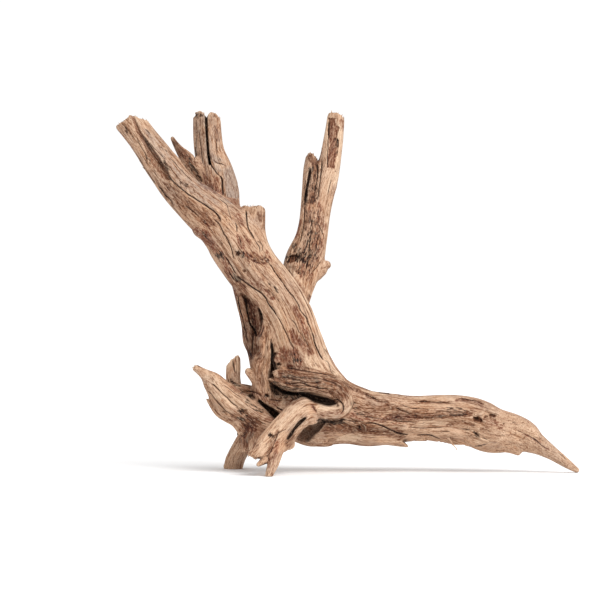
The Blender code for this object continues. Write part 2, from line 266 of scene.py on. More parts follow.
# What the front shows, read in millimetres from the front: across and up. A crack is half its width,
# its depth, and the path that it takes.
CRACKS = [
    (1.3, 5.0, [(-151, 253), (-147, 247.5), (-143, 243), (-138, 239.3), (-134, 236), (-127, 232),
     (-120, 227), (-115, 223.5), (-109, 218.5), (-106, 213)]),
    (0.9, 3.0, [(-113, 215.5), (-108.5, 212), (-105.5, 207), (-103, 202), (-99.5, 195.5), (-97.3, 190),
     (-96, 184), (-94.5, 180)]),
    (0.9, 2.2, [(-193, 290), (-184, 278), (-178, 269), (-172, 260), (-166, 251), (-161, 244.5)]),
    (0.8, 2.0, [(-161, 245), (-155, 237.5), (-150, 232), (-146, 226)]),
    (0.6, 1.2, [(-150, 229), (-140, 217), (-132, 210)]),
    (0.6, 1.5, [(-178, 284), (-174, 277), (-170, 270), (-168.5, 263)]),
    (0.8, 1.6, [(-171.5, 292), (-168.5, 289.5), (-165.5, 286)]),
    (0.5, 1.0, [(-168, 281), (-160, 272), (-153, 265)]),
    (0.5, 1.0, [(-150, 268), (-140, 257), (-131, 247)]),
    (0.5, 1.0, [(-138, 262), (-131, 253), (-124, 246)]),
    (0.6, 1.2, [(-137, 227), (-130, 221.5), (-124, 217)]),
    (1.2, 4.0, [(-85, 223), (-84.6, 220), (-84, 212.5), (-82.5, 207), (-80, 202), (-77, 197.5)]),
    (0.7, 2.0, [(-77.5, 198), (-75.5, 194.5), (-73.5, 191), (-73, 186)]),
    (0.5, 1.0, [(-76, 197), (-72, 194), (-70.5, 190.5), (-72, 187)]),
    (0.5, 1.0, [(-109, 233.5), (-104, 230), (-101, 227), (-100, 222), (-98.5, 218), (-96.5, 213)]),
    (1.0, 2.6, [(-94.6, 213), (-93.2, 208.5), (-92, 203)]),
    (0.6, 1.4, [(-92, 203), (-90.5, 197.5), (-88.5, 190.5)]),
    (0.9, 2.6, [(-104, 184), (-101, 180.5), (-98, 176), (-95, 171.5), (-92, 167)]),
    (1.2, 3.4, [(-93, 168), (-91, 165.5), (-87, 162), (-82, 158.5), (-76, 155), (-71, 151), (-68, 147),
     (-66, 143), (-62, 138), (-58, 132)]),
    (0.8, 2.4, [(-59, 133.5), (-54, 125), (-51, 119), (-48, 112), (-45.5, 107), (-45, 103)]),
    (0.7, 1.8, [(-100, 171), (-96, 165), (-91, 160)]),
    (0.7, 1.8, [(-66.5, 179), (-62, 173), (-58, 167), (-53, 159.5)]),
    (0.9, 2.8, [(-54, 161), (-49.5, 154.5), (-45, 149), (-41.5, 144), (-39, 139), (-36, 134), (-33, 129),
     (-31, 124), (-29, 118)]),
    (1.1, 3.2, [(-29.5, 120), (-27, 112), (-25, 106), (-22.5, 101), (-20, 96.5), (-18.5, 95)]),
    (0.5, 1.2, [(-18.5, 95.3), (-15, 93.5), (-14, 90), (-13, 86), (-11, 83)]),
    (0.7, 1.8, [(-18.5, 105), (-15.8, 101.5), (-14, 98)]),
    (0.5, 1.0, [(-84, 179), (-82, 176), (-79.5, 174.5)]),
    (0.6, 1.4, [(-48.5, 131), (-44, 127), (-40, 120), (-36, 114), (-31, 105)]),
    (0.8, 1.8, [(-64, 154), (-62, 151), (-60, 149)]),
    (0.6, 1.4, [(-62, 158.5), (-59, 156), (-56.5, 154)]),
    (1.5, 4.0, [(-86, 149), (-84.4, 142), (-83.6, 136), (-81.4, 127), (-78.5, 121), (-75.6, 115)]),
    (0.7, 1.3, [(-63.9, 113), (-63.4, 107), (-63.1, 100), (-63.6, 94), (-63.2, 86.4), (-61.3, 77.5)]),
    (0.8, 2.0, [(-92, 150), (-90, 138), (-86, 124), (-83, 110)]),
    (0.7, 1.6, [(-79, 118), (-79.5, 108), (-79, 100)]),
    (0.6, 1.6, [(-52, 88.5), (-42, 87), (-30, 85), (-18, 83), (-8, 80)]),
    (0.5, 1.4, [(-57, 81), (-45, 79), (-33, 76), (-20, 76)]),
    (0.6, 1.6, [(-50, 74.5), (-38, 75.5), (-28, 72), (-15, 71)]),
    (0.5, 1.3, [(-33, 80), (-22, 79.5), (-10, 75.5), (-2, 70)]),
    (0.5, 1.2, [(15, 66.5), (22, 63.5), (29, 60.5)]),
    (0.5, 1.2, [(40, 56), (48, 52), (55, 49.3)]),
    (0.5, 1.2, [(86, 48.2), (94, 48.4), (103, 48.6)]),
    (1.0, 3.0, [(-10, 62.5), (-5.5, 61), (-2.6, 57.5), (-2.3, 53), (-5, 50)]),
    (0.5, 1.2, [(-1, 44), (6, 43.4), (16, 43)]),
    (1.2, 3.6, [(15.5, 41), (20, 41.8), (25, 41.2), (29, 39.8), (33, 38), (38, 35.8), (43, 34),
     (48, 32.6), (54, 32)]),
    (1.0, 2.5, [(59, 31.6), (66, 31.8), (72, 31.2), (77, 29.5), (81, 27.8)]),
    (0.6, 1.2, [(96, 36.6), (102, 36.3), (108, 35.4)]),
    (0.6, 1.2, [(80, 33), (84, 34.5), (90, 34.6)]),
    (0.5, 1.0, [(60, 59.5), (75, 59.6), (90, 58.5)]),
    (0.5, 1.0, [(45, 58), (58, 54), (72, 53)]),
    (0.5, 1.0, [(14, 47.5), (28, 45.5), (42, 43.5), (60, 42)]),
    (0.5, 1.0, [(52, 38.5), (68, 37.5), (84, 38.5)]),
    (1.0, 2.4, [(109, 34.2), (111.5, 32), (114, 29.8)]),
    (0.6, 1.4, [(114, 29.5), (119, 28), (122, 26.5)]),
    (0.8, 1.8, [(109, 21.8), (115, 22.8), (121.5, 24.2)]),
    (0.6, 1.2, [(150, 33), (157, 30), (163, 25.5), (168, 21.5), (173, 18.5)]),
    (0.5, 1.0, [(158, 30.5), (166, 23.5)]),
    (0.5, 1.0, [(180, 16.5), (184, 13.5), (188, 9.5)]),
    (1.0, 2.6, [(-116.4, 270), (-116, 264), (-114, 260), (-110, 254.8), (-106.5, 251.5)]),
    (1.5, 5.0, [(-107.5, 252.8), (-105.6, 249), (-105, 243), (-104.6, 234)]),
    (0.6, 1.0, [(-113.5, 266), (-109, 262.5), (-105, 261.5), (-101.5, 260)]),
    (0.5, 1.0, [(-127, 300), (-126.8, 285), (-128.5, 270), (-128, 262)]),
    (0.5, 1.0, [(-111.5, 286), (-110, 276), (-109.5, 270)]),
    (0.6, 1.4, [(-125, 292), (-123.5, 276), (-121, 262)]),
    (2.0, 4.4, [(-30, 259), (-30.8, 253), (-32, 247), (-33.5, 238), (-35, 226)]),
    (0.8, 2.0, [(-35, 227), (-35.5, 215), (-36.5, 205), (-39, 195)]),
    (0.8, 1.8, [(-24.5, 264), (-24, 255), (-25, 245), (-26.5, 236)]),
    (0.9, 2.0, [(-20.5, 266), (-21, 255), (-22, 244), (-24, 230)]),
    (0.6, 1.3, [(-31, 220), (-29, 208), (-31, 196), (-31, 182)]),
    (0.6, 1.3, [(-25, 214), (-20, 204), (-18, 197)]),
    (0.7, 1.8, [(-14.5, 299), (-15, 285), (-15.5, 270), (-16, 258)]),
    (0.6, 1.4, [(-12.5, 250), (-14, 243), (-16, 234)]),
    (0.6, 1.3, [(-21, 180), (-24, 175), (-30, 168)]),
    (0.9, 2.6, [(-114.5, 76), (-108, 70), (-102, 64.2), (-96, 58.3), (-91, 54.6)]),
    (0.6, 1.2, [(-118, 70), (-110, 61), (-103, 53), (-95, 47)]),
    (0.5, 1.0, [(-105, 75), (-96, 68), (-88, 63)]),
    (0.9, 2.2, [(-96.2, 95.5), (-95.6, 88), (-94.2, 83.5)]),
    (0.6, 1.4, [(-56, 36), (-60, 27.5), (-62.5, 20), (-66, 13)]),
    (0.5, 1.0, [(-62, 30), (-56, 33.5), (-50, 37)]),
    (0.5, 1.0, [(-67, 15), (-65, 8)]),
    (0.9, 2.2, [(-75, 63), (-72, 59.5), (-68, 56)]),
    (0.7, 1.4, [(-66, 62.5), (-61, 60.5), (-54, 60.5)]),
    (0.7, 1.4, [(-92, 66.5), (-84, 68.5), (-76, 67.5), (-70, 63.5)]),
    (0.7, 1.6, [(-28.5, 57.5), (-27.5, 54), (-24.5, 51.5)]),
]

# The opened groove of the left limb: height, its left edge, its right wall and its depth
OPENED_GROOVE = [
    (303, -183.4, -181.5, 0.8),
    (301.9, -182.9, -180.5, 1.2),
    (295.2, -180.2, -177.4, 2.4),
    (288.6, -178.2, -174.1, 3.2),
    (281.9, -174.2, -169.2, 4.2),
    (275.2, -171.0, -164.7, 5.2),
    (268.5, -168.6, -159.8, 6.0),
    (261.8, -165.2, -155.1, 6.4),
    (255.2, -160.5, -151.1, 5.6),
    (249.8, -156.6, -149.4, 4.0),
    (246.5, -152, -147.5, 0.5),
]

# A pit is across, up, half its width, half its height, turned by degrees, and its depth. One that is
# raised instead has a depth below zero.
PITS = [
    (110.6, 45.3, 3.8, 2.3, -16, 3.6),
    (114.2, 44.0, 2.8, 1.5, -34, 2.0),
    (124.0, 48.2, 3.2, 1.2, -10, 2.3),
    (118.2, 46.7, 3.0, 1.0, 12, 1.7),
    (113.5, 49.6, 5.2, 1.7, 6, -2.1),
    (124.5, 51.2, 5.2, 1.6, -14, -2.0),
    (119.5, 43.2, 4.0, 1.6, -10, -1.2),
    (-91.5, 186, 2.6, 2.4, 20, 2.2),
    (-86, 171.3, 1.6, 1.4, 0, 1.6),
    (-153, 262, 2.2, 1.8, -40, 1.8),
    (-87, 51, 5.0, 2.6, -12, 1.5),
    (-64.2, 31, 2.0, 1.6, 0, 1.8),
    (-66.8, 65.3, 2.4, 1.5, -20, 2.2),
    (-57, 91.5, 2.0, 1.4, 30, 1.8),
    (-61, 87, 1.2, 2.0, 0, 1.6),
    (-60, 101, 2.0, 1.2, 0, 1.3),
    (-55.5, 105, 2.0, 1.2, 20, 1.2),
    (-59, 95.5, 3.6, 4.2, 20, -2.2),
    (-60, 83, 2.8, 3.6, 0, -1.8),
    (-56.5, 100, 3.0, 2.4, 0, -1.4),
    (-91.5, 242, 1.2, 3, 10, 1.0),
    (-128.5, 303, 1.2, 2.0, 0, 1.6),
    (-124, 302.5, 1.6, 1.2, 0, 1.4),
    (-112, 302.5, 1.0, 1.6, 0, 1.2),
    (-44, 182, 6.0, 3.6, 24, 2.6),
    (-44.5, 175.5, 4.6, 1.3, 10, -1.2),
    (-41, 170, 3.0, 1.6, -20, 1.6),
    (-78, 183.5, 12, 4.4, -12, -1.3),
    (-76, 179, 9, 1.2, -14, 1.0),
    (-70, 182, 4, 1.2, 30, 1.0),
    (3, 28.4, 13, 3.6, 13, 0.9),
    (126, 40, 5, 3, -20, 0.8),
    (-123, 204, 4.5, 3.5, -40, -1.2),
]

# The edge of a torn layer of wood: its height, how far back it fades, and the edge's path. The layer is on
# the path's left.
LAYERS = [
    (1.9, 10, [(98, 21.9), (109.7, 22.4), (116, 22.8), (121.6, 24.6), (120.6, 26.8), (112.8, 30),
     (109.4, 33.6), (113.2, 35.6), (114, 38.6), (111.8, 40.9), (107, 42.6), (104, 44)]),
    (1.5, 6, [(105, 47.8), (108, 49.6), (113, 48.4), (118, 50.2), (122, 50), (127, 49.2), (131, 47)]),
    (0.9, 5, [(131, 47), (127.5, 44.6), (122, 44.4), (118, 41.6), (113, 42.6)]),
    (0.9, 7, [(14, 67), (26.4, 61.8), (36, 57.5), (45.8, 53.6), (56.4, 49.7), (71.4, 45.9), (88, 47.4),
     (104, 48.4)]),
    (0.8, 5, [(-9.9, 258), (-9.4, 250), (-10.5, 243), (-8, 236)]),
    (0.8, 6, [(-167, 282), (-161, 276), (-158, 277), (-152, 270)]),
    (0.7, 5, [(-150, 247), (-156, 252), (-160, 258), (-165, 262)]),
    (1.0, 6, [(-52, 92), (-44, 90.5), (-34, 89), (-22, 86), (-10, 82.5), (0, 77)]),
    (1.2, 3.5, [(-3.6, 53), (-4.3, 58.7), (-8.1, 58.7), (-11.5, 57), (-14.5, 56.5), (-18.7, 57.4),
     (-25.5, 59.1)]),
    (0.9, 4, [(1.5, 49.5), (5.1, 57), (5.1, 61.2), (1.3, 67.6), (-9.4, 71.4)]),
    (0.9, 5, [(52, 26), (60, 29.5), (70, 31.6), (81, 28), (92, 31), (104, 29)]),
    (0.8, 5, [(16, 45.5), (24, 44.5), (34, 41.5), (44, 37), (56, 33.5)]),
]

# A sunken panel: its stain, how strong that is, its depth and its outline.
PANELS = [
    ("red", 0.55, 1.2, [(-14.9, 301), (-15.5, 288.2), (-13.6, 279.6), (-16, 266.4), (-16.4, 258.9),
     (-10, 257.7), (-9.9, 258.7), (-9.4, 267.2), (-6.9, 269.7), (-6.3, 281.5), (-8.3, 284), (-5.8, 292.5),
     (-8.9, 297), (-8.5, 301)]),
    ("brown", 0.6, 0.8, [(92.5, 61.6), (98, 63), (106, 61.3), (114, 60), (118, 58.6), (116.5, 55.6),
     (112, 58.6), (100, 60.2), (94, 60.2)]),
    ("pale", 0.8, -0.6, [(-8.8, 26.4), (-5, 30.5), (2, 32.6), (10, 33.6), (15, 31.6), (12, 27.6),
     (4, 24.4), (-4, 22.8), (-8, 23.6)]),
]

# A stain is its colour, how strong it is, half its width, and the path that it takes. A few dark ones are
# painted shadows.
STAINS_AND_SHADOWS = [
    ("pale", 0.4, 4.0, [(-182, 301), (-170, 297), (-163, 289)]),
    ("pale", 0.4, 2.6, [(-177, 293), (-171, 285.5), (-166, 279)]),
    ("grey", 0.55, 9.0, [(-166, 284), (-148, 260), (-130, 244), (-112, 232)]),
    ("grey", 0.5, 11.0, [(-118, 302), (-117, 282), (-113, 262)]),
    ("brown", 0.5, 7.0, [(-152, 240), (-138, 228), (-124, 219), (-113, 214)]),
    ("dark", 0.3, 1.8, [(-188, 292), (-182, 287)]),
    ("dark", 0.7, 1.6, [(-170, 269), (-168, 263)]),
    ("dark", 0.6, 2.0, [(-154, 263), (-151, 258)]),
    ("dark", 0.5, 1.4, [(-156, 276), (-153, 273)]),
    ("dark", 0.4, 2.0, [(-141, 247), (-136, 244)]),
    ("red", 0.9, 3.8, [(-128, 205), (-121, 202), (-118, 197)]),
    ("red", 0.7, 1.6, [(-120, 214), (-116, 206)]),
    ("red", 0.8, 3.4, [(-116, 195), (-108, 186), (-103, 178), (-97, 166)]),
    ("dark", 0.7, 2.8, [(-109, 186), (-106, 183)]),
    ("dark", 0.4, 1.6, [(-122, 203), (-118, 200)]),
    ("red", 0.45, 3.0, [(-92, 217), (-89, 212)]),
    ("brown", 0.35, 2.6, [(-74, 219), (-72, 214)]),
    ("red", 0.9, 1.0, [(-90, 186.5), (-86, 184), (-80.5, 181), (-76, 178.2), (-71, 177), (-67.5, 178.5),
     (-66, 182.5)]),
    ("red", 0.8, 0.8, [(-87, 187), (-82, 184.5), (-77.5, 181.5), (-72.5, 180), (-69, 181.5), (-68, 185)]),
    ("red", 0.7, 0.8, [(-83.5, 180), (-79, 176.5), (-73.5, 174), (-69.5, 174.5)]),
    ("red", 0.7, 0.9, [(-79, 186.5), (-75.5, 183.5), (-72, 183)]),
    ("red", 0.6, 0.8, [(-66, 190), (-67.5, 187), (-65, 183), (-63, 179.5)]),
    ("brown", 0.45, 4.4, [(-86, 184), (-78, 180.5), (-69, 180)]),
    ("red", 0.5, 0.8, [(-89, 199), (-87, 194), (-87.5, 190)]),
    ("red", 0.4, 0.8, [(-85.5, 201), (-83.5, 197), (-84, 192), (-82, 189)]),
    ("red", 0.45, 0.8, [(-92.5, 200), (-91, 195), (-88.5, 190)]),
    ("red", 0.5, 2.0, [(-92, 201), (-89, 192)]),
    ("red", 0.5, 2.0, [(-85, 199), (-82, 194)]),
    ("dark", 0.9, 2.0, [(-92, 187), (-88, 184)]),
    ("dark", 0.5, 2.4, [(-97, 168), (-91, 163)]),
    ("red", 0.3, 4.0, [(-84, 163), (-72, 157), (-63, 150)]),
    ("red", 0.5, 0.9, [(-81, 160), (-76, 159), (-73, 162), (-69.5, 164.5)]),
    ("red", 0.5, 0.9, [(-73, 161), (-70, 157), (-67, 153)]),
    ("red", 0.7, 0.9, [(-68, 154), (-66, 149.5), (-62.5, 147.5), (-58.5, 148.5)]),
    ("dark", 0.6, 1.0, [(-65.5, 160), (-61.5, 157.5), (-59, 154)]),
    ("dark", 0.5, 0.9, [(-66, 155), (-63.5, 151), (-62.5, 149)]),
    ("red", 0.65, 3.0, [(-44, 139), (-39, 131), (-36, 123), (-33, 116)]),
    ("red", 0.75, 3.6, [(-47, 118), (-42, 113), (-36, 109), (-31, 102)]),
    ("red", 0.7, 6.5, [(-56, 98), (-48, 101), (-42, 96), (-46, 91)]),
    ("dark", 0.5, 3.4, [(-45, 98), (-42, 94)]),
    ("brown", 0.65, 7.0, [(-91, 160), (-87, 142), (-83, 125), (-81, 110), (-79, 98)]),
    ("red", 0.6, 3.0, [(-97, 155), (-92, 135), (-88, 118), (-87, 108), (-81, 98)]),
    ("red", 0.6, 5.0, [(-80, 142), (-76, 130), (-74, 118)]),
    ("brown", 0.5, 4.0, [(-68, 122), (-73, 108), (-76, 90), (-72, 75)]),
    # painted shadow: the narrow groove between the right pillar and the knot
    ("dark", 0.35, 1.6, [(-64, 112), (-63, 98), (-63, 84), (-60, 74)]),
    ("pale", 0.6, 3.0, [(-58.5, 102), (-59, 95), (-60, 88)]),
    ("pale", 0.6, 6.0, [(-34, 150), (-25, 130), (-20, 115), (-14, 99)]),
    ("pale", 0.6, 5.0, [(-66, 200), (-63, 188), (-50, 174), (-40, 160)]),
    ("pale", 0.55, 7.0, [(-33, 96), (-24, 93), (-14, 92)]),
    ("pale", 0.8, 3.6, [(-8, 84), (0, 78), (12, 72), (30, 67)]),
    ("pale", 0.5, 5.0, [(-60, 140), (-55, 118), (-52, 108)]),
    ("dark", 0.2, 7.0, [(-52, 78), (-42, 76), (-25, 74), (-14, 71)]),
    ("brown", 0.78, 9.0, [(-54, 81), (-40, 79), (-25, 77), (-12, 73), (-4, 68)]),
    ("pale", 0.5, 2.2, [(-27, 77), (-18, 74), (-8, 70), (-1, 65), (2, 59)]),
    ("pale", 0.4, 2.0, [(-57, 84), (-58, 79), (-54, 74)]),
    ("pale", 0.6, 2.2, [(1, 68), (5, 61), (3, 54), (-3, 49)]),
    ("pale", 0.95, 3.0, [(-24, 56.5), (-15, 54.5), (-6, 56)]),
    ("red", 0.4, 2.4, [(-20, 49.5), (-12, 49), (-4, 51)]),
    # painted shadow: under the curl's lower rim
    ("dark", 0.7, 2.2, [(-23, 43.5), (-12, 42.5), (0, 44)]),
    ("brown", 0.7, 1.9, [(-12, 80), (5, 72), (15, 66.5), (32, 60), (45, 54), (58, 48.5), (71, 46.5),
     (88, 48), (106, 49)]),
    ("brown", 0.5, 6.0, [(8, 57), (20, 54), (42, 50), (56, 46)]),
    ("dark", 0.35, 3.0, [(7, 58), (8.5, 51), (14, 49)]),
    ("red", 0.5, 4.0, [(4, 47), (25, 45), (45, 45), (60, 47)]),
    ("brown", 0.75, 5.0, [(-16, 38), (0, 37), (15, 37), (32, 35), (46, 32)]),
    ("dark", 0.25, 3.0, [(-14, 40), (2, 41), (14, 38)]),
    ("pale", 0.5, 3.0, [(22, 29), (36, 27), (50, 24)]),
    ("dark", 0.45, 1.7, [(83, 52.8), (92, 53.6), (101, 52.6)]),
    ("red", 0.5, 1.6, [(94, 61), (100, 61), (108, 60), (115, 57.5), (115, 54)]),
    ("brown", 0.45, 3.0, [(60, 50), (80, 50), (100, 50), (108, 52)]),
    ("dark", 0.2, 1.4, [(78, 46.6), (90, 48), (105, 49)]),
    ("brown", 0.6, 1.4, [(60, 59.5), (76, 59.5), (92, 58.5)]),
    ("brown", 0.5, 1.8, [(88, 40), (100, 42), (108, 40)]),
    ("brown", 0.6, 1.8, [(113, 43), (119, 45), (126, 46)]),
    ("red", 0.4, 2.4, [(120, 40), (126, 42), (131, 38)]),
    ("red", 0.4, 2.0, [(119, 38), (117, 34)]),
    ("dark", 0.8, 1.6, [(109.5, 33.5), (113.5, 30)]),
    ("pale", 0.8, 2.6, [(111, 27), (120, 26)]),
    ("pale", 0.25, 9.0, [(128, 48), (140, 40), (155, 32), (172, 20), (190, 6)]),
    ("pale", 0.5, 2.6, [(60, 42.5), (72, 42), (84, 42)]),
    ("pale", 0.4, 3.0, [(60, 63), (80, 62.5), (96, 57)]),
    ("red", 0.35, 1.6, [(152, 32), (163, 25.5), (173, 18.5)]),
    ("red", 0.9, 3.0, [(-121, 245), (-113, 240), (-107, 237.5)]),
    ("red", 0.5, 5.0, [(-118, 252), (-110, 246)]),
    ("dark", 0.8, 2.4, [(-131, 260), (-128, 254), (-124, 248)]),
    ("grey", 1.0, 7.5, [(-97, 254), (-97, 244), (-96, 234)]),
    ("grey", 0.8, 3.0, [(-114, 268), (-109, 265)]),
    ("brown", 0.2, 8.0, [(-124, 298), (-122, 280), (-120, 262)]),
    ("brown", 0.3, 4.0, [(-112, 300), (-109, 284)]),
    ("brown", 0.9, 4.2, [(-146, 282), (-139, 272), (-131, 262)]),
    ("dark", 0.5, 2.0, [(-134, 266), (-130, 258)]),
    ("pale", 0.9, 1.7, [(-142, 279), (-138, 276)]),
    ("dark", 0.5, 2.0, [(-129, 304), (-123, 303)]),
    ("dark", 0.6, 1.5, [(-8, 282), (-8, 271)]),
    ("red", 0.6, 1.6, [(-4, 298), (-2.5, 292)]),
    ("pale", 0.9, 2.6, [(-4.5, 296), (-4.5, 280), (-6, 262), (-9, 246)]),
    ("pale", 0.5, 2.0, [(-16, 300), (-17, 280), (-18, 262)]),
    ("pale", 0.6, 4.0, [(-14, 256), (-16, 240)]),
    ("brown", 0.9, 4.2, [(-30, 268), (-26, 265)]),
    ("brown", 0.75, 3.6, [(-25.5, 262), (-26, 246), (-28, 230)]),
    ("dark", 0.3, 3.0, [(-25.5, 258), (-26, 240), (-28, 226)]),
    ("dark", 0.7, 2.2, [(-30.5, 258), (-32.5, 246), (-35, 228)]),
    ("red", 0.4, 9.5, [(-29, 226), (-26, 206), (-28, 190), (-34, 172)]),
    ("dark", 0.22, 8.0, [(-29, 224), (-28, 200), (-31, 186), (-36, 172)]),
    ("dark", 0.55, 3.0, [(-33, 200), (-31, 188), (-34, 180)]),
    ("dark", 0.8, 3.2, [(-51, 180), (-45, 183), (-40, 182)]),
    ("dark", 0.9, 3.0, [(-44, 192), (-40, 186)]),
    ("red", 0.6, 2.6, [(-40, 212), (-42, 200)]),
    ("pale", 0.7, 3.4, [(-17, 178), (-14, 176)]),
    ("pale", 0.5, 3.0, [(-14, 215), (-15, 195), (-17, 186)]),
    ("pale", 0.5, 6.0, [(-120, 84), (-108, 73), (-97, 62), (-86, 58)]),
    ("pale", 0.3, 5.0, [(-112, 66), (-100, 54)]),
    ("brown", 0.6, 4.0, [(-96, 47), (-86, 46), (-78, 44)]),
    ("dark", 0.7, 2.6, [(-91, 52.5), (-84, 50)]),
    ("dark", 0.6, 1.5, [(-92, 46), (-86, 44)]),
    ("dark", 0.6, 2.2, [(-84, 60), (-78, 55), (-72, 52)]),
    ("brown", 0.95, 8.0, [(-80, 42), (-83, 34), (-83, 26)]),
    ("red", 0.5, 5.0, [(-82, 38), (-84, 28)]),
    ("red", 0.6, 3.5, [(-95, 72), (-84, 69), (-72, 65), (-60, 59)]),
    ("dark", 0.9, 1.6, [(-99, 77), (-95, 75), (-91, 74)]),
    ("dark", 0.7, 1.6, [(-69, 65), (-65, 64)]),
    ("pale", 0.5, 4.0, [(-100, 92), (-94, 94), (-93, 88)]),
    ("pale", 0.5, 8.0, [(-36, 57), (-45, 50), (-56, 38), (-70, 22)]),
    ("brown", 0.7, 1.6, [(-58, 34), (-62, 27), (-66, 14)]),
    ("red", 0.4, 3.0, [(-58, 26), (-62, 14), (-65, 6)]),
    ("dark", 0.8, 1.8, [(-65, 31.5), (-63, 30)]),
    ("red", 0.7, 1.3, [(-29, 57), (-26, 52)]),
    ("brown", 0.6, 4.0, [(-48, 60), (-38, 62)]),
    # painted shadow: under the dark ridge
    ("dark", 0.8, 5.0, [(-60, 70), (-50, 68), (-38, 67)]),
    ("brown", 0.6, 3.0, [(-46, 30), (-50, 24)]),
]

TINTS = ("red", "brown", "dark", "grey", "pale")
CRACK_LAYERS = 3
FIBRE_SLOTS = 3

# The sheet that the front's marks are drawn on
SHEET_STEP = 0.35
SHEET_LOW = np.array((-207.0, -7.0))
SHEET_CELLS = np.array((1190, 930))


LATTICE_SIZE = 64


def lattice():
    """Random heights on a lattice that repeats, for smooth noise."""
    return np.random.default_rng(7).uniform(-1.0, 1.0, (LATTICE_SIZE,) * 3).astype(np.float32)


LATTICE = lattice()


def noise(a, b, c):
    """Smooth noise from -1 to 1 at three coordinates, one unit to a bump."""
    cell = [np.floor(v).astype(np.int32) for v in (a, b, c)]
    part = [(v - w).astype(np.float32) for v, w in zip((a, b, c), cell)]
    part = [v * v * v * (v * (v * 6 - 15) + 10) for v in part]
    low = [w & (LATTICE_SIZE - 1) for w in cell]
    high = [(w + 1) & (LATTICE_SIZE - 1) for w in cell]
    total = 0.0
    for i in (0, 1):
        x, wx = (high[0], part[0]) if i else (low[0], 1 - part[0])
        for j in (0, 1):
            y, wy = (high[1], part[1]) if j else (low[1], 1 - part[1])
            for k in (0, 1):
                z, wz = (high[2], part[2]) if k else (low[2], 1 - part[2])
                total = total + LATTICE[x, y, z] * (wx * wy * wz)
    return total


def ramp(value, low, high):
    """0 below low, 1 above high, and smooth between. It falls where low is above high."""
    t = np.clip((value - low) / (high - low), 0.0, 1.0)
    return t * t * (3 - 2 * t)


def join(a, b, reach):
    """The union of two fields, with a fillet."""
    mix = np.maximum(reach - np.abs(a - b), 0.0) / reach
    return np.minimum(a, b) - mix * mix * reach * 0.25


def carve(a, b, reach):
    """Field a with field b taken away, with an eased edge."""
    return -join(-a, b, reach)


def through_stations(stations, spacing):
    """Even steps along a Catmull-Rom curve through the stations, so a limb bends and swells evenly."""
    rows = np.array(stations, float)
    rows = np.vstack([2 * rows[0] - rows[1], rows, 2 * rows[-1] - rows[-2]])
    fine = []
    for a, b, c, d in zip(rows, rows[1:], rows[2:], rows[3:]):
        for t in np.arange(16) / 16:
            fine.append(0.5 * (2 * b + (c - a) * t + (2 * a - 5 * b + 4 * c - d) * t**2
                               + (3 * b - a - 3 * c + d) * t**3))
    fine = np.array(fine + [rows[-2]])
    places = min(3, rows.shape[1])
    run = np.concatenate([[0.0], np.cumsum(np.linalg.norm(np.diff(fine[:, :places], axis=0), axis=1))])
    steps = max(2, round(run[-1] / spacing))
    even = np.linspace(0.0, run[-1], steps + 1)
    return np.stack([np.interp(even, run, column) for column in fine.T], axis=1), run[-1] / steps


def unit(vectors):
    return vectors / np.maximum(np.linalg.norm(vectors, axis=-1, keepdims=True), 1e-9)


# Sizes of what weather leaves on a limb, in millimetres: drying clefts, flutes, ridges and ragged ends
CLEFT_LENGTH = 95
CLEFT_GAP = 6.3
FLUTE_LENGTH = 52
FLUTE_WIDTH = 6.5
RIDGE_LENGTH = 24
RIDGE_WIDTH = 2.6
FINE_RAG = 1.7
WIDE_RAG = 4.1
END_ROUNDING = 1.4


